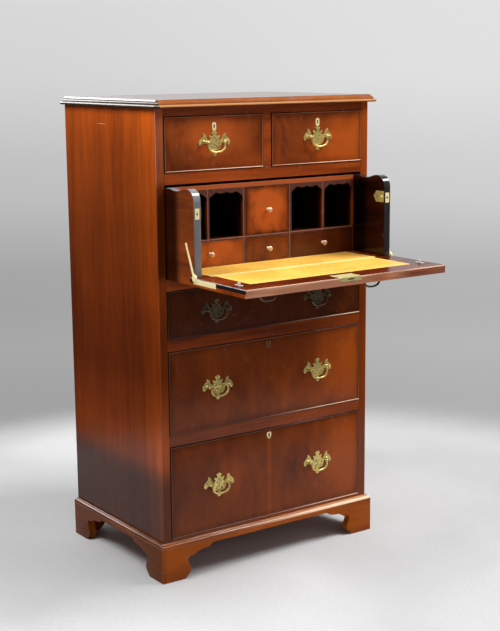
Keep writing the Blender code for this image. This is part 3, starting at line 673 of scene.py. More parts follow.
class ChestBrass(bpy.types.PropertyGroup):
    """Colours and sizes of the brasses."""
    bright: colour_setting("Bright", "Rubbed brass", (0.92, 0.73, 0.25))
    dull: colour_setting("Dull", "Tarnished brass", (0.20, 0.15, 0.05))
    pale: colour_setting("Pale", "Brass of the hinges and knobs", (0.95, 0.80, 0.44))
    plate: length_setting("Plate", "Thickness of the backplates", 0.0013)
    wire: length_setting("Bail", "Radius of the bail at its thickest", 0.0026)
    screw: length_setting("Screws", "Radius of the screw heads", 0.0024)


class ChestLeather(bpy.types.PropertyGroup):
    """Colours and sizes of the writing leathers."""
    colour: colour_setting("Leather", "Colour of the leather", (0.73, 0.44, 0.078))
    line: colour_setting("Tooling", "Colour of the tooled line", (0.98, 0.80, 0.42))
    inset: length_setting("Line", "Distance of the tooled line from the edge", 0.009)
    corner: length_setting("Corners", "Radius of the leather's corners", 0.006)


class ChestStudio(bpy.types.PropertyGroup):
    """The studio round the chest."""
    floor: colour_setting("Floor", "Colour of the floor", (0.54, 0.54, 0.545))
    top_lamp: power_setting("Top lamp", "Power of the lamp overhead", 40.0)
    key_lamp: power_setting("Key lamp", "Power of the lamp on the right", 120.0)
    left_lamp: power_setting("Left lamp", "Power of the lamp on the left", 40.0)
    front_lamp: power_setting("Front lamp", "Power of the lamp in front", 4.0)
    back_lamp: power_setting("Back lamp", "Power of the glare from behind", 140.0)
    fill: FloatProperty(name="Fill", description="Light from all round", default=0.22, min=0.0)


def grained(kind, along, shift, **settings):
    """Mahogany of the case or the base with its grain along one axis."""
    woods = bpy.context.scene.chest_woods
    dark, light = (tuple(getattr(woods, f"{kind}_{tone}")) for tone in ("dark", "light"))
    settings.setdefault("gloss", woods.gloss)
    return finish(f"{kind}_mahogany_{'xyz'[along]}_{int(shift * 10)}", timber, dark, light, along,
                  shift=shift, **settings)


def base_wood(along, shift, gloss=0.22, shine=0.1, tints=()):
    """Mahogany of the plinth, darker as painted shade at its right end and along its left side."""
    # Painted shade at the front of the right end
    right = ((X, 0.26, FAR, 0.10), (Y, -FAR, -0.10, 0.05)), (0.36, 0.32, 0.34), "MULTIPLY"
    # Painted shade along the left side
    left = (((X, -FAR, -HALF_W - 0.002, 0.001), (Y, FRONT_Y, FAR, 0.02)), (0.40, 0.43, 0.55),
            "MULTIPLY")
    return grained("base", along, shift, gloss=gloss, contrast=0.9, tints=(right, left) + tints,
                   shine=shine)


def desk_side_wood(hand, low, high):
    """Mahogany outside, with painted shadow over its back and painted shade on its inner face;
    its edges stained black between the two faces, on the left with a painted grey reflection.
    """
    woods = bpy.context.scene.chest_woods
    skin = 0.0009
    left = hand == "left"
    # Painted shadow of the carcase over the back of the side
    back = ((Y, low[1] + 0.082, high[1], 0.030),)
    # Painted shade on the inner face
    within = ((X, low[0] + skin * 2, FAR, 0.0002) if left else
              (X, -FAR, high[0] - skin * 2, 0.0002),)
    edge = ((X, low[0] + skin, high[0] - skin, 0.0003),)
    # The left edges' grey is a painted reflection over the black stain; the right edges are black
    # alone
    edge_tone = (0.17, 0.17, 0.185) if left else (0.024, 0.020, 0.021)
    return finish("ebonised_mahogany_" + hand, timber, tuple(woods.front_dark),
                  scaled(woods.front_light, 0.85), Y, shift=2.0, gloss=0.12, shine=0.5,
                  tints=((back, (0.12, 0.12, 0.25), "MULTIPLY"),
                         (within, (0.12, 0.12, 0.22), "MULTIPLY"), (edge, edge_tone, "MIX")))


# Brighter and duller colour, roughness, tarnish and share of bare metal
BRASSES = {
    # Painted shade: a darker brass for the handles under the let-down fall
    "dim_brass": ((0.20, 0.15, 0.08), (0.035, 0.025, 0.015), 0.3, 0.75, 0.6),
    "knob_brass": ((0.86, 0.62, 0.42), (0.40, 0.24, 0.13), 0.35, 0.6, 0.6),
    "tarnished_brass": ((0.34, 0.15, 0.06), (0.12, 0.04, 0.015), 0.20, 0.75, 0.5),
    "lock_brass": ((0.50, 0.44, 0.19), (0.27, 0.23, 0.08), 0.38, 0.5, 0.15),
    "striker_steel": ((0.72, 0.68, 0.66), (0.30, 0.26, 0.25), 0.20, 0.75, 0.25),
}


def metal(name):
    """A brass by its name, two of them from the sidebar, or a black sheet of painted shade
    inside a keyhole.
    """
    if name == "keyhole_black":
        return finish(name, plain, (0.012, 0.010, 0.009), 0.8)
    tones = bpy.context.scene.chest_brass
    rows = dict(BRASSES, aged_brass=(tuple(tones.bright), tuple(tones.dull), 0.20, 0.75, 0.6),
                pale_brass=(tuple(tones.pale), tuple(tones.bright), 0.35, 0.3, 0.15))
    return finish(name, brass, *rows[name])


# Studio

class CHEST_OT_stage(bpy.types.Operator):
    """Floor, backdrop, lamps and camera"""
    bl_idname = "chest.stage"
    bl_label = "Studio"

    def execute(self, context):
        studio = context.scene.chest_studio
        floor(tuple(studio.floor))
        world(studio.fill)
        lamp("top_lamp", (0.3, -0.9, 4.2), (0.0, 0.0, 0.5), (1.9, 1.7), studio.top_lamp)
        lamp("key_lamp", (1.7, -1.1, 3.1), (0.0, 0.0, 0.7), (1.3, 1.3), studio.key_lamp)
        soft = lamp("front_lamp", (0.85, -1.85, 0.85), (-0.3, -0.06, 1.0), (0.7, 0.9),
                    studio.front_lamp)
        soft.visible_glossy = False
        lamp("left_lamp", (-1.35, -0.1, 2.2), (-0.3, 0.15, 0.9), (0.9, 0.9), studio.left_lamp)
        glare = lamp("back_lamp", (-0.1, 3.0, 2.8), (-0.1, 0.1, 1.2), (2.8, 1.7), studio.back_lamp)
        glare.visible_diffuse = False
        camera()
        context.scene.view_settings.view_transform = "Standard"
        return {"FINISHED"}


FLOOR_REACH = 1.42
FLOOR_FADE = 0.24


def floor(colour):
    """A round floor that fades out at its rim, with painted light paler to the left and further back.
    """
    radius = FLOOR_REACH + FLOOR_FADE
    points, quads, _ = lathe([(0, 0), (radius / 2, 0), (radius, 0)], 96)
    mesh = bpy.data.meshes.new("studio_floor")
    mesh.from_pydata((points - (0, 0, 0.0002)).tolist(), [], quads.tolist())
    mesh.validate()
    material, n, place = fresh("studio_floor")
    x, y, _ = n.parts(place)
    share = n.times_plus(n.noise(place, 90.0, 4.0), 0.25, n.times(n.noise(place, 1.6, 3.0, 0.4), 0.75))
    tone = n.mixed(n.spread(share, 0.35, 0.65), colour, scaled(colour, 0.86))
    # Painted light: paler to the left and further back
    across = n.times_plus(y, -0.58, n.times(x, 0.82))
    tone = n.mixed(n.spread(across, -0.55, 0.35, 1.0, 0.0, smooth=False), tone, (1.19,) * 3,
                   "MULTIPLY")
    depth = n.times_plus(y, 0.80, n.times(x, 0.56))
    tone = n.mixed(n.spread(depth, -0.5, 1.2), tone, (1.20,) * 3, "MULTIPLY")
    shader = n.paint(tone, 0.75, shine=0.1)
    fade = n.spread(n.distance(x, y), FLOOR_REACH - FLOOR_FADE, FLOOR_REACH + FLOOR_FADE * 0.9,
                    1.0, 0.0)
    n.put(shader.inputs["Alpha"], fade)
    mesh.materials.append(material)
    made = bpy.data.objects.new("studio_floor", mesh)
    bpy.context.scene.collection.objects.link(made)


CAMERA_PLACE = (-1.91332, -2.70319, 1.26412)
CAMERA_FORWARD = (0.564544, 0.803252, -0.189936)
CAMERA_UP = (0.116434, 0.150312, 0.981758)
CAMERA_LENS = 75.40

# Brightness of the backdrop by the height of a ray's direction
BACKDROP = (
    (-0.30, 0.40), (-0.245, 0.39), (-0.21, 0.42), (-0.18, 0.40), (-0.155, 0.41), (-0.13, 0.47),
    (-0.10, 0.55), (-0.07, 0.585), (-0.04, 0.65), (-0.01, 0.71), (0.04, 0.74), (0.12, 1.0),
    (0.30, 1.0),
)
DARK_ROOM = 0.04


def world(fill):
    """Backdrop seen by the eye and by gloss, a dark room off to its sides, a low even light."""
    made = bpy.data.worlds.new("studio")
    bpy.context.scene.world = made
    made.use_nodes = True
    n = Nodes(made.node_tree)
    x, y, z = n.parts(n.add("TexCoord", output="Generated"))
    low, high = BACKDROP[0][0], BACKDROP[-1][0]
    stops = [((height - low) / (high - low), (tone,) * 3) for height, tone in BACKDROP]
    wall = n.toned(n.spread(z, low, high, smooth=False), stops)
    east = n.spread(x, 0.40, 0.72, 0.925, n.spread(z, -0.14, 0.10, 1.13, 1.0))
    toward = n.times_plus(x, CAMERA_FORWARD[0], n.times(y, CAMERA_FORWARD[1]))
    ray = n.node("LightPath").outputs
    eye = n.most(ray["Is Camera Ray"], n.spread(toward, 0.45, 0.85))
    seen = n.mixed(eye, (DARK_ROOM,) * 3, n.brighter(wall, east))
    gloss = n.most(n.most(ray["Is Camera Ray"], ray["Is Glossy Ray"]), ray["Is Transmission Ray"])
    back = made.node_tree.nodes["Background"]
    n.put(back.inputs["Color"], n.mixed(gloss, (fill,) * 3, seen))
    back.inputs["Strength"].default_value = 1.0


def lamp(name, place, aim, size, power):
    """A soft box that looks at a point and that no camera sees."""
    data = bpy.data.lights.new(name, "AREA")
    data.shape = "RECTANGLE"
    data.size, data.size_y = size
    data.energy = power
    made = bpy.data.objects.new(name, data)
    made.location = place
    made.rotation_euler = (Vector(aim) - Vector(place)).to_track_quat("-Z", "Y").to_euler()
    made.visible_camera = False
    bpy.context.scene.collection.objects.link(made)
    return made


def camera():
    """The camera at the angle of the photograph."""
    data = bpy.data.cameras.new("camera")
    data.lens = CAMERA_LENS
    data.sensor_width = 36.0
    data.clip_end = 50.0
    made = bpy.data.objects.new("camera", data)
    back = -Vector(CAMERA_FORWARD).normalized()
    right = Vector(CAMERA_UP).cross(back).normalized()
    up = back.cross(right)
    turn = Matrix((right, up, back)).transposed()
    made.matrix_world = Matrix.Translation(CAMERA_PLACE) @ turn.to_4x4()
    bpy.context.scene.collection.objects.link(made)
    bpy.context.scene.camera = made


# Carcase

# Painted light and shade on the left side: how light its timber is at each height, upwards
SIDE_SHADE = (
    (0.05, 1.0), (0.20, 0.9), (0.27, 0.78), (0.30, 1.2), (0.35, 1.35), (0.43, 0.93), (0.52, 0.88),
    (0.61, 0.93), (0.70, 1.0), (0.78, 0.84), (0.87, 0.72), (0.96, 0.86), (1.05, 1.05), (1.14, 1.4),
)


class CHEST_OT_case(bpy.types.Operator):
    """Sides, rails, back and dust boards"""
    bl_idname = "chest.case"
    bl_label = "Carcase"

    def execute(self, context):
        face = (Y, -FAR, FRONT_Y + 0.0008, 0.0004)
        highlit_arris = (X, -FAR, -HALF_W + 0.0012, 0.0006), (Y, -FAR, FRONT_Y + 0.0012, 0.0006)
        nick = (Y, FRONT_Y + 0.238, FRONT_Y + 0.272, 0.006), (Z, 1.1125, 1.1135, 0.0005)
        shaded_low = (Z, -FAR, 0.62, 0.34)
        tints = {"left": (
            # Painted highlight on the front arris
            (highlit_arris, (0.28, 0.095, 0.04), "WORN"),
            # Painted reflection, a pinkish haze on the top of the stile
            ((face, (Z, 1.04, 1.20, 0.10)), (0.75, 1.1, 4.5), "MULTIPLY"),
            (nick, (0.50, 0.21, 0.12), "WORN"),
            # Painted shadow of the drawn-out writing drawer on the stile beside it
            ((face, (Z, 0.77, 0.965, 0.03)), (0.42, 0.42, 0.5), "MULTIPLY"),
            # Painted shade, darker towards the bottom
            ((shaded_low,), (0.50, 0.45, 0.45), "MULTIPLY"),
            # Painted reflection of the floor, a pale band low on the side
            (((Z, 0.29, 0.42, 0.10),), (1.30, 1.40, 1.60), "MULTIPLY"),
            # Painted shade with a cool cast at the very bottom
            (((Z, -FAR, 0.235, 0.055),), (0.47, 0.55, 0.75), "MULTIPLY"),
            # Painted light, lighter towards the front edge
            (((Y, -FAR, FRONT_Y + 0.030, 0.14),), (1.20, 1.25, 1.1), "MULTIPLY"),
            (((Y, FRONT_Y + 0.002, FRONT_Y + 0.040, 0.05),), (1.38, 1.35, 1.1), "MULTIPLY")),
            # Painted shade low on the right stile, and painted light over the whole of its face
            "right": (((face, shaded_low), (0.55, 0.50, 0.50), "MULTIPLY"),
                      ((face,), (1.30, 1.40, 1.2), "MULTIPLY"))}
        for hand, side in HANDS:
            wood = grained("case", Z, 1.0 + side, contrast=0.6, gloss=0.14, shine=0.22,
                           tints=tints[hand], shade=SIDE_SHADE if side < 0 else ())
            finished("case_side_" + hand, wood, 0.0008)
        rails = ("dustboard_short", "dustboard_desk", "dustboard_upper", "dustboard_middle")
        for step, name in enumerate(rails + ("top_rail", "bottom_board")):
            finished(name, grained("case", X, 4.0 + 0.6 * step))
        finished("back_panel", grained("case", X, 9.0), 0.0)
        return {"FINISHED"}


TOP_PROFILE = (
    (-0.05, 0.0), (0.62, 0.0), (0.80, 0.02), (0.94, 0.07), (1.0, 0.15), (0.985, 0.23),
    (0.92, 0.30), (0.80, 0.335), (0.66, 0.35), (0.635, 0.37), (0.62, 0.40), (0.60, 0.47),
    (0.555, 0.56), (0.49, 0.65), (0.40, 0.73), (0.29, 0.80), (0.20, 0.86), (0.14, 0.915),
    (0.08, 0.965), (0.0, 0.99), (-0.10, 1.0), (-0.3, 1.0),
)
BASE_PROFILE = (
    (0.05, -0.05), (0.90, -0.05), (0.905, 0.10), (0.895, 0.24), (0.86, 0.38), (0.80, 0.51),
    (0.715, 0.62), (0.61, 0.70), (0.49, 0.745), (0.40, 0.76), (0.385, 0.78), (0.38, 0.84),
    (0.36, 0.92), (0.31, 0.975), (0.24, 1.0), (0.0, 1.0),
)
FOOT_SHARES = (
    (0.449, 0.0), (0.455, 0.015), (0.485, 0.08), (0.52, 0.14), (0.547, 0.2), (0.558, 0.27),
    (0.556, 0.34), (0.543, 0.41), (0.525, 0.47), (0.512, 0.54), (0.503, 0.60), (0.503, 0.65),
    (0.515, 0.70), (0.54, 0.728), (0.572, 0.733), (0.605, 0.718), (0.62, 0.715), (0.628, 0.745),
    (0.66, 0.785), (0.70, 0.80), (0.715, 0.825), (0.75, 0.85), (0.80, 0.858), (0.87, 0.865),
    (0.93, 0.885), (0.965, 0.93), (1.0, 1.0),
)

# How a moulding's profile leans out at the back left, front left, front right and back right
LEAN = np.array([(-1, 0), (-1, -1), (1, -1), (1, 0)], float)
BOARD = 0.020
BOARD_OUT = 0.0115
FOOT_REACH = 0.147
FOOT_CLEAR = 0.0775
BOARD_EDGE = 0.0006


def case_corners(front):
    """The carcase's four corners, with its front at a given place."""
    return np.array([(-HALF_W, BACK_Y), (-HALF_W, front), (HALF_W, front), (HALF_W, BACK_Y)])


def mitre(form, axis, reach, face, thickness):
    """Cut the ends of a board at 45 degrees: at its back they stand in by its thickness."""
    points, quads, tris = form
    depth = np.clip(np.abs(points[:, 1 - axis] - face) / thickness, 0, 1)
    low, high = reach
    points = points.copy()
    points[:, axis] = np.clip(points[:, axis], low + depth * thickness, high - depth * thickness)
    return points, quads, tris


class CHEST_OT_mouldings(bpy.types.Operator):
    """Moulded top, base moulding and bracket feet"""
    bl_idname = "chest.mouldings"
    bl_label = "Mouldings and feet"

    def execute(self, context):
        low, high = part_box("top_board")
        side_out, front_out = high[0] - HALF_W, FRONT_Y - low[1]
        corners = case_corners(FRONT_Y - front_out + side_out)
        profile = np.array(TOP_PROFILE) * (side_out, high[2] - low[2]) + (0, low[2])
        top = capped(rings_round(corners, LEAN, profile), 4)
        flat = ((Z, high[2] - 0.0003, high[2] + FAR, 0.0006),)
        glare_side = ((X, -FAR, low[0] + 0.016, 0.0015),)
        front = (Y, -FAR, low[1] + 0.020, 0.001), (X, low[0] + 0.016, FAR, 0.0015)
        lip_highlight = front + ((Z, high[2] - 0.0165, high[2] - 0.0125, 0.0008),)
        dark_glare_lines = [glare_side + ((Z, high[2] - down - 0.0013, high[2] - down, 0.0005),)
                 for down in (0.0040, 0.0095, 0.0150)]
        bands = [(glare_side + ((Z, high[2] - down - 0.0026, high[2] - down, 0.0004),), 1.0)
                 for down in (0.0006, 0.0062, 0.0116)]
        # Painted shade darkens the flat top
        tints = [(flat, (0.25, 0.35, 0.5), "MULTIPLY"), (front, (0.74, 1.0, 0.35), "MULTIPLY"),
                 # A painted cool reflection of the glare on the left side, and a painted highlight on
                 # the front's lower lip
                 (glare_side, (0.2, 0.6, 1.5), "MULTIPLY"), (lip_highlight, (0.36, 0.16, 0.05), "MIX")]
        # Painted dark lines between the glare's bands on the left side
        tints += [(ranges, (0.1, 0.1, 0.12), "MULTIPLY") for ranges in dark_glare_lines]
        wood = grained("case", X, 7.7, contrast=0.8, gloss=0.85, mirror=[(flat, 0.92)] + bands,
                       tints=tints, shine=0.38)
        piece("moulded_top", top, wood, "carcase", ["top_board"], 28)
        low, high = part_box("bracket_plinth")
        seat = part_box("case_side_left")[0][2]
        self.moulding(high, high[0] - HALF_W, seat)
        self.plinth(HALF_W + BOARD_OUT, seat)
        return {"FINISHED"}

    def moulding(self, high, out, seat):
        """The base moulding: a profile round three sides, its two ends closed."""
        tall = high[2] - seat
        profile = np.array(BASE_PROFILE) * (out, tall) + (0.0004, seat + 0.0004)
        points, ring, _ = rings_round(case_corners(FRONT_Y), LEAN, profile, True, False)
        rows = np.arange(len(profile)) * 4
        # A painted highlight on the rounded shoulder, growing towards the right end
        shoulder_highlight = (((Z, seat + 0.26 * tall, seat + 0.72 * tall, 0.12 * tall),
                 (X, high[0] - 0.06, FAR, 0.42), (Y, -FAR, FRONT_Y, 0.001)),
                (0.98, 0.68, 0.45), "MIX")
        # A painted highlight laid in streaks along the top of the front
        top_highlight = (((Z, seat + 0.86 * tall, FAR, 0.0006), (Y, -FAR, FRONT_Y, 0.001)),
                    (0.60, 0.30, 0.15), "WORN")
        piece("base_moulding", (points, ring, np.concatenate([fan(rows), fan(rows + 3)])),
              base_wood(X, 6.3, 0.14, 0.5, (shoulder_highlight, top_highlight)), "carcase",
              ["bracket_plinth"], 28)

    def plinth(self, foot_x, seat):
        """Three boards with cut out feet, mitred at the corners, and a plain one at the back."""
        shares = np.array(FOOT_SHARES) * (FOOT_REACH, FOOT_CLEAR)
        front = FRONT_Y - BOARD_OUT
        for name, start, end, side in (("front", -foot_x, foot_x, 0), ("left", front, BACK_Y, -1),
                                       ("right", front, BACK_Y, 1)):
            near = shares + (start, 0)
            far = (shares * (-1, 1))[::-1] + (end, 0)
            outline = np.concatenate([[(start, 0)], near, far,
                                      [(end, 0), (end, seat), (start, seat)]])
            if side:
                face = side * foot_x
                span = sorted((face, face - side * BOARD))
                board = to_side(slab(outline, span[0], span[1], BOARD_EDGE))
                board = mitre(board, Y, (start, BACK_Y + FAR), face, BOARD)
                grain = base_wood(Y, 5.6 + side)
            else:
                board = to_front(slab(outline, front, front + BOARD, BOARD_EDGE))
                board = mitre(board, X, (start, end), front, BOARD)
                grain = base_wood(X, 5.2)
            piece("plinth_" + name, board, grain, "carcase", ["bracket_plinth"], 40)
        inner = foot_x - BOARD - 0.0003
        near = shares + (-foot_x, 0)
        near = near[near[:, 0] > -inner]
        ring = np.concatenate([[(-inner, 0)], near, (near * (-1, 1))[::-1],
                               [(inner, 0), (inner, seat), (-inner, seat)]])
        back = to_front(slab(ring, BACK_Y - BOARD, BACK_Y, BOARD_EDGE))
        piece("plinth_back", back, grained("case", X, 8.4), "carcase",
              ["bracket_plinth"], 40)


# Drawers

BEAD_W = 0.003
BEAD_PROUD = 0.002
BEAD_GAP = 0.0013


def cock_bead(low, high):
    """A bead round a front: a half round strip carried round the rectangle with mitred corners."""
    radius = BEAD_W / 2
    angle = np.linspace(0, np.pi, 7)
    across = radius - radius * np.cos(angle)
    out = -(BEAD_PROUD - radius) - radius * np.sin(angle)
    profile = np.concatenate([[(0, 0.01)], np.stack([across, out], 1), [(BEAD_W, 0.01)]])
    corners = np.array([(low[0], low[2]), (high[0], low[2]), (high[0], high[2]), (low[0], high[2])])
    lean = np.array([(1, 1), (-1, 1), (-1, -1), (1, -1)], float)
    return to_front(rings_round(corners, lean, profile, True, True), low[1] + BEAD_PROUD)


def front_board(low, high):
    """A front's board: a field inside the bead, and the full width behind it."""
    face = low[1] + BEAD_PROUD
    field = rectangle(low[0] + BEAD_W, low[2] + BEAD_W, high[0] - BEAD_W, high[2] - BEAD_W)
    back = rectangle(low[0], low[2], high[0], high[2])
    return joined(to_front(slab(field, face, face + 0.0102, 0.0001)),
                  to_front(slab(back, face + 0.0103, high[1], 0.0003)))


# Each front's veneer; tone is how light its timber is
FRONTS = {
    # On the long drawers the patch at the right end is painted light and that at the left end painted
    # shade
    "bottom_drawer": dict(shift=1.3, matched=True, stripe=0.35, shine=0.2, tone=0.9, glows=(
        (0.27, 0.0, 0.15, 0.7), (-0.11, 0.02, 0.07, 0.35), (0.09, 0.0, 0.09, -0.35),
        (-0.27, 0.0, 0.15, -0.35))),
    "middle_drawer": dict(shift=4.2, matched=True, shine=0.2, tone=0.92, glows=(
        (0.27, 0.0, 0.15, 0.7), (0.04, -0.03, 0.12, 0.25), (-0.26, 0.03, 0.15, -0.15))),
    # Its low tone is painted shade under the let-down fall
    "upper_drawer": dict(shift=7.9, matched=True, tone=0.37),
    "short_drawer_left": dict(shift=2.6, tone=1.25, glows=(
        (-0.01, 0.03, 0.10, 0.85), (-0.10, -0.04, 0.08, -0.3), (0.13, -0.01, 0.06, -0.3))),
    "short_drawer_right": dict(shift=5.5, tone=1.2, glows=(
        (0.09, -0.02, 0.12, 0.7), (-0.10, 0.0, 0.09, -0.35))),
}


class CHEST_OT_drawers(bpy.types.Operator):
    """Drawer fronts with their beads, and the drawer boxes"""
    bl_idname = "chest.drawers"
    bl_label = "Drawers"

    def execute(self, context):
        woods = context.scene.chest_woods
        lining = finish("drawer_lining", timber, scaled(woods.lining, 0.6), tuple(woods.lining), Y,
                        shift=3.3, gloss=0.6)
        for name, look in FRONTS.items():
            tone = look["tone"]
            settings = {key: value for key, value in look.items() if key != "tone"}
            low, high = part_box(name + "_front")
            skin = finish(name + "_veneer", veneer, low, high, BEAD_W,
                          scaled(woods.front_dark, tone), scaled(woods.front_light, tone),
                          gloss=woods.gloss, **settings)
            piece(name + "_veneered", front_board(low, high), skin, name,
                  [name + "_front"])
            piece(name + "_cock_bead", cock_bead(low, high), self.bead(name, low, high, tone, woods),
                  name)
            finished(name + "_box", lining)
        return {"FINISHED"}

    def bead(self, name, low, high, tone, woods):
        """The bead's finish: black as painted shade of the gaps where it meets the rails, and a
        painted highlight on its lower bead at the right.
        """
        near = (Y, -FAR, FRONT_Y + 0.0012, 0.0006)
        # Painted shade of the gaps round the bead, on its outer edges
        joints = ((X, -FAR, low[0] + BEAD_GAP, 0.0002), (Z, high[2] - BEAD_GAP, 2 * FAR, 0.0002),
                  (X, high[0] - BEAD_GAP, FAR, 0.0002), (Z, -FAR, low[2] + BEAD_GAP, 0.0002))
        light = scaled((0.34, 0.115, 0.05), tone)
        # Painted highlight along the lower bead towards the right
        bead_highlight = (((Z, -FAR, low[2] + BEAD_W, 0.0003), (X, high[0] - 0.05, FAR, 0.30)),
               (0.72, 0.46, 0.30), "MIX")
        tints = [bead_highlight] + [((near, joint), tuple(woods.black), "MIX") for joint in joints]
        return finish(name + "_bead", timber, scaled(light, 0.6), light, X, shift=11.3,
                      contrast=0.6, gloss=0.2, shine=0.3, tints=tints)


# Handles

PLATE_SHARES = (
    (0.0, 1.0), (0.09, 0.93), (0.18, 0.84), (0.11, 0.68), (0.16, 0.52), (0.25, 0.63),
    (0.34, 0.55), (0.26, 0.36), (0.37, 0.25), (0.49, 0.42), (0.56, 0.66), (0.72, 0.78),
    (0.74, 0.56), (0.9, 0.36), (1.0, 0.1), (0.965, -0.12), (0.86, -0.15), (0.8, -0.04),
    (0.6, 0.0), (0.5, 0.06), (0.46, -0.11), (0.42, -0.31), (0.31, -0.46), (0.08, -0.56),
    (0.12, -0.9), (0.0, -1.0),
)
PIERCINGS = (
    (0.0, 0.42, 0.0014), (0.12, 0.20, 0.0013), (0.30, -0.02, 0.0015), (0.0, -0.10, 0.0016),
    (0.17, -0.30, 0.0015), (0.88, 0.12, 0.0014), (0.62, 0.40, 0.0011),
)
BAIL_SHARES = (
    (0.97, 0.03, 0.75), (0.95, 0.1, 0.9), (0.98, 0.22, 0.9), (1.0, 0.36, 0.9), (0.97, 0.55, 0.95),
    (0.85, 0.76, 1.0), (0.62, 0.92, 1.0), (0.3, 1.0, 0.94), (0.0, 1.02, 0.92),
)
POST_PROFILE = (
    (0.0, 0.0), (4.9, 0.0), (5.0, 0.5), (4.3, 1.2), (3.2, 2.2), (2.8, 3.6), (2.8, 6.4),
    (3.3, 7.4), (3.7, 9.0), (3.75, 11.5), (3.3, 13.2), (2.2, 14.2), (0.0, 14.6),
)
BORING = 0.0615
POST_RISE = 0.005
PIVOT_OUT = 0.0110
PLATE_HALF = (0.04475, 0.031)
BAIL_DROP = 0.0245
POST_R = 0.0035
PIN_R = 0.0011


def backplate(thickness):
    """A pierced plate from a smoothed outline, and two turned posts; across, up and out."""
    right = np.array(PLATE_SHARES) * PLATE_HALF
    ring = smooth_ring(np.concatenate([right, (right * (-1, 1))[1:-1][::-1]]), 4)
    holes = [disc(side * across * PLATE_HALF[0], up * PLATE_HALF[1], radius, 12)
             for across, up, radius in PIERCINGS for side in ((1, -1) if across else (1,))]
    plate = slab(ring, 0.0, thickness, 0.0004, holes)
    post = lathe(np.array(POST_PROFILE) / 1000, 20)
    posts = [moved(post, side * BORING / 2, POST_RISE, 0.0002) for side in (-1, 1)]
    return joined(plate, *posts)


def bail(radius):
    """A swelling wire from pin to pin through its lowest point."""
    inner = BORING / 2 - POST_R
    reach = inner - 0.0003 - radius
    ends = [(inner + 0.003, 0.0, PIN_R / radius), (inner - 0.0002, 0.0, PIN_R / radius)]
    side = np.array(BAIL_SHARES) * (reach, -BAIL_DROP, 1)
    half = np.concatenate([ends, side])
    whole = np.concatenate([half, (half * (-1, 1, 1))[:-1][::-1]])
    line = smooth_ring(whole, 4, closed=False)
    path = np.stack([line[:, 0], np.zeros(len(line)), line[:, 1]], 1)
    return tube(path, line[:, 2] * radius, 14)


class CHEST_OT_handles(bpy.types.Operator):
    """Backplates, posts and bails"""
    bl_idname = "chest.handles"
    bl_label = "Handles"

    def execute(self, context):
        sizes = context.scene.chest_brass
        plate = backplate(sizes.plate)
        wire = bail(sizes.wire)
        for joint in frame["joints"]:
            if not joint["name"].startswith("bail_"):
                continue
            which = joint["name"][len("bail_"):-len("_swing")]
            x, y, z = joint["pos_m"]
            # Handles under the fall take the darker brass as painted shade
            tone = "dim_brass" if which.startswith(("upper", "fall")) else "aged_brass"
            if which.startswith("fall"):
                under = plate[0] * (1, -1, -1), *plate[1:]
                form = moved(under, x, y + POST_RISE, z + PIVOT_OUT)
            else:
                form = moved(to_front(plate, y + PIVOT_OUT, -1), x, 0, z - POST_RISE)
            fitting("backplate_" + which, form, joint["parent"], tone, ["plate_" + which], 40)
            fitting("swan_bail_" + which, moved(wire, x, y, z), "bail_" + which, tone,
                    ["bail_" + which], 60)
        return {"FINISHED"}


# Writing drawer

# Each small front's veneer; tone is how light its timber is
SMALL_FRONTS = {
    "nest_drawer_tall": dict(shift=3.4, glows=((0.0, 0.01, 0.07, 1.1),), edge=0.014,
                             rim_shade=0.8),
    "nest_drawer_centre": dict(shift=1.1, edge=0.010, tone=0.75),
    "nest_drawer_left": dict(shift=6.1, glows=((0.03, 0.0, 0.10, 0.5),), edge=0.010),
    "nest_drawer_right": dict(shift=8.3, edge=0.010, tone=0.34),
}


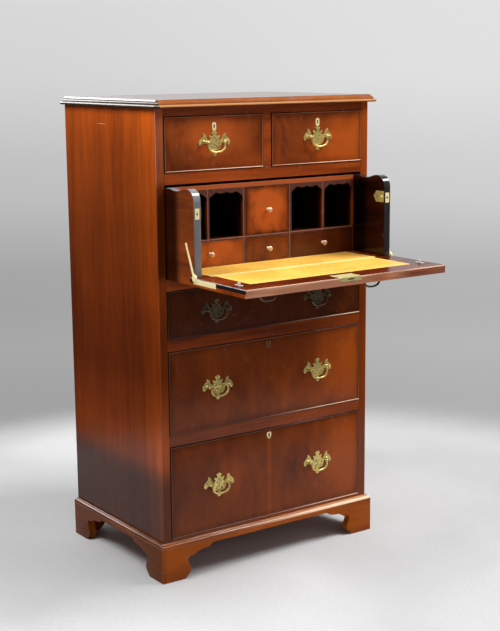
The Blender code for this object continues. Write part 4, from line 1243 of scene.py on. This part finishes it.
class CHEST_OT_desk(bpy.types.Operator):
    """Writing drawer: sides, floor, fall and nest"""
    bl_idname = "chest.desk"
    bl_label = "Writing drawer"

    def execute(self, context):
        woods = context.scene.chest_woods
        for hand, _ in HANDS:
            node = "desk_side_" + hand
            smoothed(node, "scrolled_side_" + hand, desk_side_wood(hand, *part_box(node)),
                     "writing_drawer", 0.0014)
        finished("desk_floor", grained("case", X, 12.1))
        self.fall(tuple(woods.black))
        self.nest(woods)
        for name, look in SMALL_FRONTS.items():
            settings = {key: value for key, value in look.items() if key != "tone"}
            light = woods.glow if "glows" in look else woods.front_light
            skin = finish(name + "_veneer", veneer, *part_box(name), 0.0,
                          scaled(woods.front_dark, 0.7), scaled(light, look.get("tone", 1.0)),
                          gloss=0.2, soft=0.26, **settings)
            finished(name, skin, 0.0004)
        return {"FINISHED"}

    def fall(self, black):
        """The fall: dark round its leather, black along its ends, its front edge pale with wear and
        painted sheen, and a painted highlight on its left end's top arris.
        """
        low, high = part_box("desk_fall")
        edge = (Y, -FAR, low[1] + 0.0010, 0.0006)
        top = (Z, high[2] - 0.0006, FAR, 0.0005)
        upper = (Z, high[2] - 0.0095, FAR, 0.0006)
        corner = (X, -FAR, low[0] + 0.0018, 0.0004), (Z, high[2] - 0.0012, FAR, 0.0003)
        tints = (((top,), (0.50, 0.42, 0.75), "MULTIPLY"),
                 # Painted sheen over the front edge, laid in streaks with its wear, and darker towards
                 # the right end
                 ((edge,), (0.50, 0.205, 0.115), "WORN"),
                 ((edge, (X, -0.24, 0.0, 0.10)), (0.55, 0.25, 0.16), "WORN"),
                 ((edge, (X, 0.19, FAR, 0.08)), (0.50, 0.40, 0.38), "MULTIPLY"),
                 # Painted shade on the top to the right of the leather
                 ((top, (X, 0.243, FAR, 0.004)), (0.55, 0.55, 0.65), "MULTIPLY"),
                 ((edge, (Z, high[2] - 0.0022, FAR, 0.0004)), (0.85, 0.55, 0.38), "WORN"),
                 (((X, -FAR, low[0] + 0.0012, 0.0006), upper), black, "MIX"),
                 (((X, high[0] - 0.0012, FAR, 0.0006), upper), black, "MIX"),
                 # Painted highlight on the top arris of the left end
                 (corner, (0.42, 0.41, 0.42), "WORN"))
        wood = grained("case", X, 13.4, contrast=0.9, gloss=0.22, tints=tints, shine=0.05)
        finished("desk_fall", wood, 0.0010)

    def nest(self, woods):
        """The nest: dim front edges with painted highlights on arrises, a bright strip over it, and
        painted shade inside.
        """
        low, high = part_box("pigeonhole_nest")
        near = (Y, -FAR, FRONT_Y + 0.0006, 0.0005)
        between = (X, low[0] + 0.0035, high[0] - 0.0035, 0.0003)
        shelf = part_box("nest_drawer_tall")[0][2]
        below = (Z, -FAR, high[2] - 0.0110, 0.0003)
        pale, dim = (0.22, 0.092, 0.068), (0.080, 0.028, 0.020)
        # Painted shade inside the pigeonholes, darkening all behind the front
        tints = [(((Y, FRONT_Y + 0.014, FAR, 0.012),), (0.10, 0.08, 0.08), "MULTIPLY"),
                 ((near, between, below), dim, "MIX"),
                 ((near, (Z, high[2] - 0.0107, FAR, 0.0003)), (0.34, 0.075, 0.016), "MIX"),
                 # Painted highlight along the top of the shelf's front edge
                 ((near, between, (Z, shelf - 0.0022, shelf - 0.0003, 0.0003)), pale, "MIX")]
        # Painted highlights along the partitions' left arrises
        for x, thick in ((0.070, 0.0075), (0.1755, 0.006)):
            for side in (-1, 1):
                left = side * x - thick / 2
                tints.append((((X, left, left + 0.0016, 0.0003), near, below), pale, "MIX"))
        wood = finish("nest_mahogany", timber, scaled(woods.front_dark, 0.9),
                      scaled(woods.front_light, 0.62), X, shift=14.2, gloss=0.3, tints=tints)
        finished("pigeonhole_nest", wood, 0.0005)


KNOB_PROFILE = (
    (0.0, 0.0), (4.6, 0.0), (4.7, 0.5), (4.2, 1.3), (3.0, 2.2), (2.6, 3.6), (2.8, 5.0),
    (3.8, 6.2), (5.3, 7.4), (6.2, 8.8), (6.5, 10.2), (6.1, 11.7), (5.0, 12.9), (3.2, 13.7),
    (1.5, 14.0), (0.0, 14.0),
)


class CHEST_OT_knobs(bpy.types.Operator):
    """Turned knobs of the small drawers"""
    bl_idname = "chest.knobs"
    bl_label = "Knobs"

    def execute(self, context):
        knob = lathe(np.array(KNOB_PROFILE) / 1000, 28)
        for name in ("centre", "tall", "left", "right"):
            low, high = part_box("knob_nest_drawer_" + name)
            x, _, z = middle_of(low, high)
            fitting("turned_knob_" + name, moved(to_front(knob, high[1], -1), x, 0, z),
                    "nest_drawer_" + name, "knob_brass", ["knob_nest_drawer_" + name], 60)
        return {"FINISHED"}


# The leathers' half widths, what is left round them, and how they lie in their recess
FALL_LEATHER_HALF = 0.240
FLOOR_LEATHER_HALF = 0.250
LEATHER_MARGIN = 0.0605
LEATHER_GAP = 0.0004
LEATHER_DEPTH = 0.0010
LEATHER_PROUD = 0.0001
TURNED_EDGE = 0.005


class CHEST_OT_leathers(bpy.types.Operator):
    """Writing leathers on the fall and the desk floor"""
    bl_idname = "chest.leathers"
    bl_label = "Leathers"

    def execute(self, context):
        skin = context.scene.chest_leather
        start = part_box("desk_fall")[0][1] + LEATHER_MARGIN
        low, high = self.corners(FALL_LEATHER_HALF, start, PIVOT[1])
        outline = rectangle(low[0], low[1], high[0], high[1], skin.corner, 6)
        rear = outline[:, 1] > PIVOT[1] - skin.corner * 1.01
        outline[rear, 1] = high[1]
        outline[rear, 0] = np.where(outline[rear, 0] > 0, high[0], low[0])
        self.leather("fall", outline, low, high, tuple(skin.colour), 0.0, "fall")
        low, high = self.corners(FLOOR_LEATHER_HALF, PIVOT[1], FRONT_Y)
        outline = rectangle(low[0], low[1], high[0], high[1], 0.0008)
        self.leather("floor", outline, low, high, scaled(skin.colour, (0.96, 0.92, 0.88)),
                     TURNED_EDGE, "writing_drawer")
        return {"FINISHED"}

    def corners(self, half, start, end):
        """The box of a leather between two depths."""
        return ((-half + LEATHER_GAP, start + LEATHER_GAP, DESK_TOP_Z - LEATHER_DEPTH),
                (half - LEATHER_GAP, end - LEATHER_GAP / 2, DESK_TOP_Z + LEATHER_PROUD))

    def leather(self, name, outline, low, high, tone, joint, body):
        """One leather with its tooled line."""
        skin = bpy.context.scene.chest_leather
        colour = finish(name + "_leather", hide, tone, tuple(skin.line), low, high, skin.inset,
                        joint)
        piece("leather_" + name, slab(outline, low[2], high[2], 0.0003), colour, body)


# Hinges and locks

def screw_heads(spots, radius, side=0):
    """Slotted screw heads at some places: low domes with a cut across, upright or to a side."""
    cut = 0.32 * radius
    turn = np.array([[math.cos(0.5), -math.sin(0.5)], [math.sin(0.5), math.cos(0.5)]])
    bar = rectangle(-radius * 0.92, -cut / 2, radius * 0.92, cut / 2) @ turn.T
    head = slab(disc(0, 0, radius, 20), 0.0, 0.0005, 0.0002, [bar])
    base = slab(disc(0, 0, radius * 0.97, 20), -0.0001, 0.0001, 0.00003)
    return joined(*(moved(to_side(form, 0.0, side) if side else form, *spot)
                    for spot in spots for form in (head, base)))


KNUCKLE_R = 0.0085
LEAF_LOW = -0.0135
LEAF_TOP = -0.0015
ARM_RISE = 0.0795
ARM_BACK = 0.0336
ARM_THICK = 0.0015
ARM_TIP_R = 0.003
RIVET_R = 0.002


class CHEST_OT_hinges(bpy.types.Operator):
    """Fall hinges, their screws and the catch buttons"""
    bl_idname = "chest.hinges"
    bl_label = "Hinges"

    def execute(self, context):
        screw = context.scene.chest_brass.screw
        for hand, side in HANDS:
            self.leaf(hand, side, screw)
            self.arm(hand, side, screw)
            finished("catch_button_" + hand, metal("pale_brass"), 0.0)
        return {"FINISHED"}

    def leaf(self, hand, side, screw):
        """The leaf let into the end of the fall: a bar that grows into a round knuckle."""
        low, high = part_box("hinge_leaf_" + hand)
        _, y, z = PIVOT
        angle = np.linspace(-math.pi / 3, math.pi - math.asin(-LEAF_TOP / KNUCKLE_R), 32)
        knuckle = KNUCKLE_R * np.stack([np.cos(angle), np.sin(angle)], 1)
        outline = np.concatenate([[(low[1] - y, LEAF_LOW), (KNUCKLE_R / 2, LEAF_LOW)], knuckle,
                                  [(-KNUCKLE_R, LEAF_TOP), (low[1] - y, LEAF_TOP)]]) + (y, z)
        hole = disc(y, z, 0.0024, 20)
        fitting("leaf_" + hand, to_side(slab(outline, low[0], high[0], 0.0002, [hole])), "fall",
                replaces=["hinge_leaf_" + hand])
        face = high[0] if side > 0 else low[0]
        spots = [(face - side * 0.0002, y + step, z + (LEAF_LOW + LEAF_TOP) / 2)
                 for step in (-0.080, -0.060, -0.040, -0.020)]
        fitting("leaf_screws_" + hand, screw_heads(spots, screw, side), "fall")

    def arm(self, hand, side, screw):
        """The arm on the drawer side: a disc round the pin and a bar that narrows to its tip."""
        low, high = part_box("hinge_arm_" + hand)
        face = high[0] if side > 0 else low[0]
        lean, length = math.atan2(ARM_RISE, ARM_BACK), math.hypot(ARM_RISE, ARM_BACK)
        opening = math.asin(0.004 / KNUCKLE_R)
        angle = np.linspace(opening, 2 * math.pi - opening, 36)
        round_end = KNUCKLE_R * np.stack([np.cos(angle), np.sin(angle)], 1)
        bend = np.linspace(-math.pi / 2, math.pi / 2, 10)
        tip = ARM_TIP_R * np.stack([np.cos(bend), np.sin(bend)], 1) + (length - ARM_TIP_R, 0)
        turn = np.array([[math.cos(lean), -math.sin(lean)], [math.sin(lean), math.cos(lean)]])
        outline = np.concatenate([round_end, tip]) @ turn.T + tuple(PIVOT[1:])
        inner = face - side * ARM_THICK
        span = sorted((face, inner))
        plate = to_side(slab(outline, span[0], span[1], 0.0003))
        rivet = lathe([(0, 0), (RIVET_R, 0), (RIVET_R, 0.0019), (0, 0.0019)], 20)
        pin = moved(to_side(rivet, inner, -side), 0, PIVOT[1], PIVOT[2])
        fitting("arm_" + hand, joined(plate, pin), "writing_drawer",
                replaces=["hinge_arm_" + hand])
        spots = [(face - side * 0.0001, PIVOT[1] + share * ARM_BACK, PIVOT[2] + share * ARM_RISE)
                 for share in (0.24, 0.58, 0.92)]
        fitting("arm_screws_" + hand, screw_heads(spots, screw * 0.85, side), "writing_drawer")


def keyhole(x, y, size):
    """A keyhole's outline: a circle over a tapering slot."""
    angle = np.linspace(-math.pi * 0.3, math.pi * 1.3, 16)
    bow = 0.24 * size * np.stack([np.cos(angle), np.sin(angle)], 1) + (0, 0.22 * size)
    slot = np.array([(-0.17 * size, -0.5 * size), (0.17 * size, -0.5 * size)])
    return np.concatenate([bow, slot]) + (x, y)


def centred_rectangle(x, y, half_x, half_y, radius=0.0, steps=4):
    """A rectangle's outline about its middle."""
    return rectangle(x - half_x, y - half_y, x + half_x, y + half_y, radius, steps)


SHIELD = (
    (0.0062, 0.0075), (0.0068, 0.0), (0.0042, -0.0058), (0.0, -0.0088), (-0.0042, -0.0058),
    (-0.0068, 0.0), (-0.0062, 0.0075), (0.0, 0.0085),
)
SHORT_LOCK_X = 0.156
SHORT_LOCK_RISE = 0.039
LONG_LOCK_DOWN = 0.0185
LOCK_HALF = 0.0315
STRIKE_Z = 0.920
CATCH_FRONT = -0.1195
CATCH_BACK = -0.080
CATCH_LOW = 0.9087
CATCH_HIGH = 0.9366
STRIKER_X = 0.2690


class CHEST_OT_locks(bpy.types.Operator):
    """Escutcheons, lock plates and catches"""
    bl_idname = "chest.locks"
    bl_label = "Locks and catches"

    def execute(self, context):
        for hand, side in HANDS:
            low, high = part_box("short_drawer_" + hand + "_front")
            x, z = side * SHORT_LOCK_X, (low[2] + high[2]) / 2 + SHORT_LOCK_RISE
            plate = slab(centred_rectangle(x, z, 0.0058, 0.0098, 0.0048, 6), 0.0, 0.0008, 0.0003,
                         [keyhole(x, z, 0.0095)])
            dark = slab(keyhole(x, z, 0.0100), 0.0, 0.0003, 0.00005)
            self.escutcheon("short_" + hand, plate, dark, "short_drawer_" + hand, "pale_brass")
        for name, tone in (("bottom", "pale_brass"), ("middle", "tarnished_brass")):
            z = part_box(name + "_drawer_front")[1][2] - LONG_LOCK_DOWN
            plate = slab(smooth_ring(np.array(SHIELD) + (0, z), 5), 0.0, 0.0004, 0.0001,
                         [keyhole(0.0, z, 0.0110)])
            dark = slab(keyhole(0.0, z, 0.0116), 0.0, 0.0002, 0.00003)
            self.escutcheon(name, plate, dark, name + "_drawer", tone)
        low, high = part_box("desk_fall")
        self.fall_lock(low[1], high[2])
        for hand, side in HANDS:
            self.catch(hand, side, *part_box("desk_side_" + hand))
            self.striker(hand, side * STRIKER_X, high[2])
        return {"FINISHED"}

    def escutcheon(self, name, plate, dark, body, tone):
        """A plate on the face of a front, and a black sheet of painted shade in its keyhole."""
        fitting("escutcheon_" + name, to_front(plate, FRONT_Y, -1), body, tone)
        fitting("keyhole_" + name, to_front(dark, FRONT_Y, -1), body, "keyhole_black")

    def fall_lock(self, edge, top):
        """The lock let into the fall, and its narrow plate on the fall's edge."""
        plate = slab(rectangle(-LOCK_HALF, edge + 0.0002, LOCK_HALF, edge + 0.040, 0.001), top,
                     top + 0.0006, 0.0002)
        fitting("lock_plate", plate, "fall", "lock_brass")
        spots = [(x, edge + y, top + 0.0006) for x in (-0.027, 0.027) for y in (0.007, 0.034)]
        fitting("lock_screws", screw_heads(spots, 0.0020), "fall")
        z = top - 0.0048
        strip = slab(centred_rectangle(0, z, LOCK_HALF, 0.0048, 0.001), 0.0, 0.0006, 0.0002,
                     [centred_rectangle(0, z, 0.009, 0.0016)])
        fitting("lock_selvedge", to_front(strip, edge, -1), "fall", "lock_brass")
        # A black sheet of painted shade in the bolt's slot
        dark = slab(centred_rectangle(0, z, 0.0092, 0.0018), 0.0, 0.0002, 0.00003)
        fitting("lock_slot", to_front(dark, edge, -1), "fall", "keyhole_black")

    def catch(self, hand, side, low, high):
        """The strike plate on a desk side's edge, and the pointed catch plate inside it."""
        x = (low[0] + high[0]) / 2
        hole = np.array([(0.0, -0.0045), (0.0028, 0.0), (0.0, 0.0045), (-0.0028, 0.0)])
        plate = slab(centred_rectangle(x, STRIKE_Z, 0.006, 0.0125, 0.0006), 0.0, 0.0003, 0.0001,
                     [hole + (x, STRIKE_Z)])
        fitting("strike_plate_" + hand, to_front(plate, low[1], -1), "writing_drawer")
        near, far = FRONT_Y + CATCH_FRONT, FRONT_Y + CATCH_BACK
        outline = np.array([(near, CATCH_LOW), (far - 0.010, CATCH_LOW),
                            (far, (CATCH_LOW + CATCH_HIGH) / 2), (far - 0.010, CATCH_HIGH),
                            (near, CATCH_HIGH)])
        _, button_y, button_z = middle_of(*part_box("catch_button_" + hand))
        plate = slab(outline, 0.0, 0.0007, 0.0002, [disc(button_y, button_z, 0.0036, 20)])
        inner = low[0] if side > 0 else high[0]
        fitting("catch_plate_" + hand, to_side(plate, inner, -side), "writing_drawer",
                "aged_brass")

    def striker(self, hand, x, top):
        """A steel post on a foot near the fall's front corner."""
        base = slab(rectangle(x - 0.004, -0.3345, x + 0.004, -0.3095, 0.0008), top,
                    top + 0.0010, 0.0003)
        post = slab(rectangle(x - 0.0018, -0.3265, x + 0.0018, -0.3175, 0.0008), top + 0.0008,
                    top + 0.0070, 0.0005)
        fitting("striker_" + hand, joined(base, post), "fall", "striker_steel")


OPERATORS = (
    CHEST_OT_stage, CHEST_OT_case, CHEST_OT_mouldings, CHEST_OT_drawers, CHEST_OT_handles,
    CHEST_OT_desk, CHEST_OT_knobs, CHEST_OT_leathers, CHEST_OT_hinges, CHEST_OT_locks,
)
GROUPS = (
    ("chest_woods", ChestWoods), ("chest_brass", ChestBrass), ("chest_leather", ChestLeather),
    ("chest_studio", ChestStudio),
)


class CHEST_PT_panel(bpy.types.Panel):
    """Sizes, colours and pieces of the chest"""
    bl_label = "Secretaire chest"
    bl_idname = "CHEST_PT_panel"
    bl_space_type = "VIEW_3D"
    bl_region_type = "UI"
    bl_category = "Chest"

    def draw(self, context):
        for name, group in GROUPS:
            box = self.layout.box()
            for key in group.__annotations__:
                box.prop(getattr(context.scene, name), key)
        for operator in OPERATORS:
            self.layout.operator(operator.bl_idname)


def register():
    """Register the settings, the operators and the panel."""
    for name, group in GROUPS:
        bpy.utils.register_class(group)
        setattr(bpy.types.Scene, name, PointerProperty(type=group))
    for operator in OPERATORS + (CHEST_PT_panel,):
        bpy.utils.register_class(operator)


def unregister():
    """Take them out again."""
    for operator in reversed(OPERATORS + (CHEST_PT_panel,)):
        bpy.utils.unregister_class(operator)
    for name, group in reversed(GROUPS):
        delattr(bpy.types.Scene, name)
        bpy.utils.unregister_class(group)


def main():
    """Dress the chest."""
    register()
    bpy.ops.chest.stage()
    bpy.ops.chest.case()
    bpy.ops.chest.mouldings()
    bpy.ops.chest.drawers()
    bpy.ops.chest.handles()
    bpy.ops.chest.desk()
    bpy.ops.chest.knobs()
    bpy.ops.chest.leathers()
    bpy.ops.chest.hinges()
    bpy.ops.chest.locks()


if __name__ == "__main__":
    main()
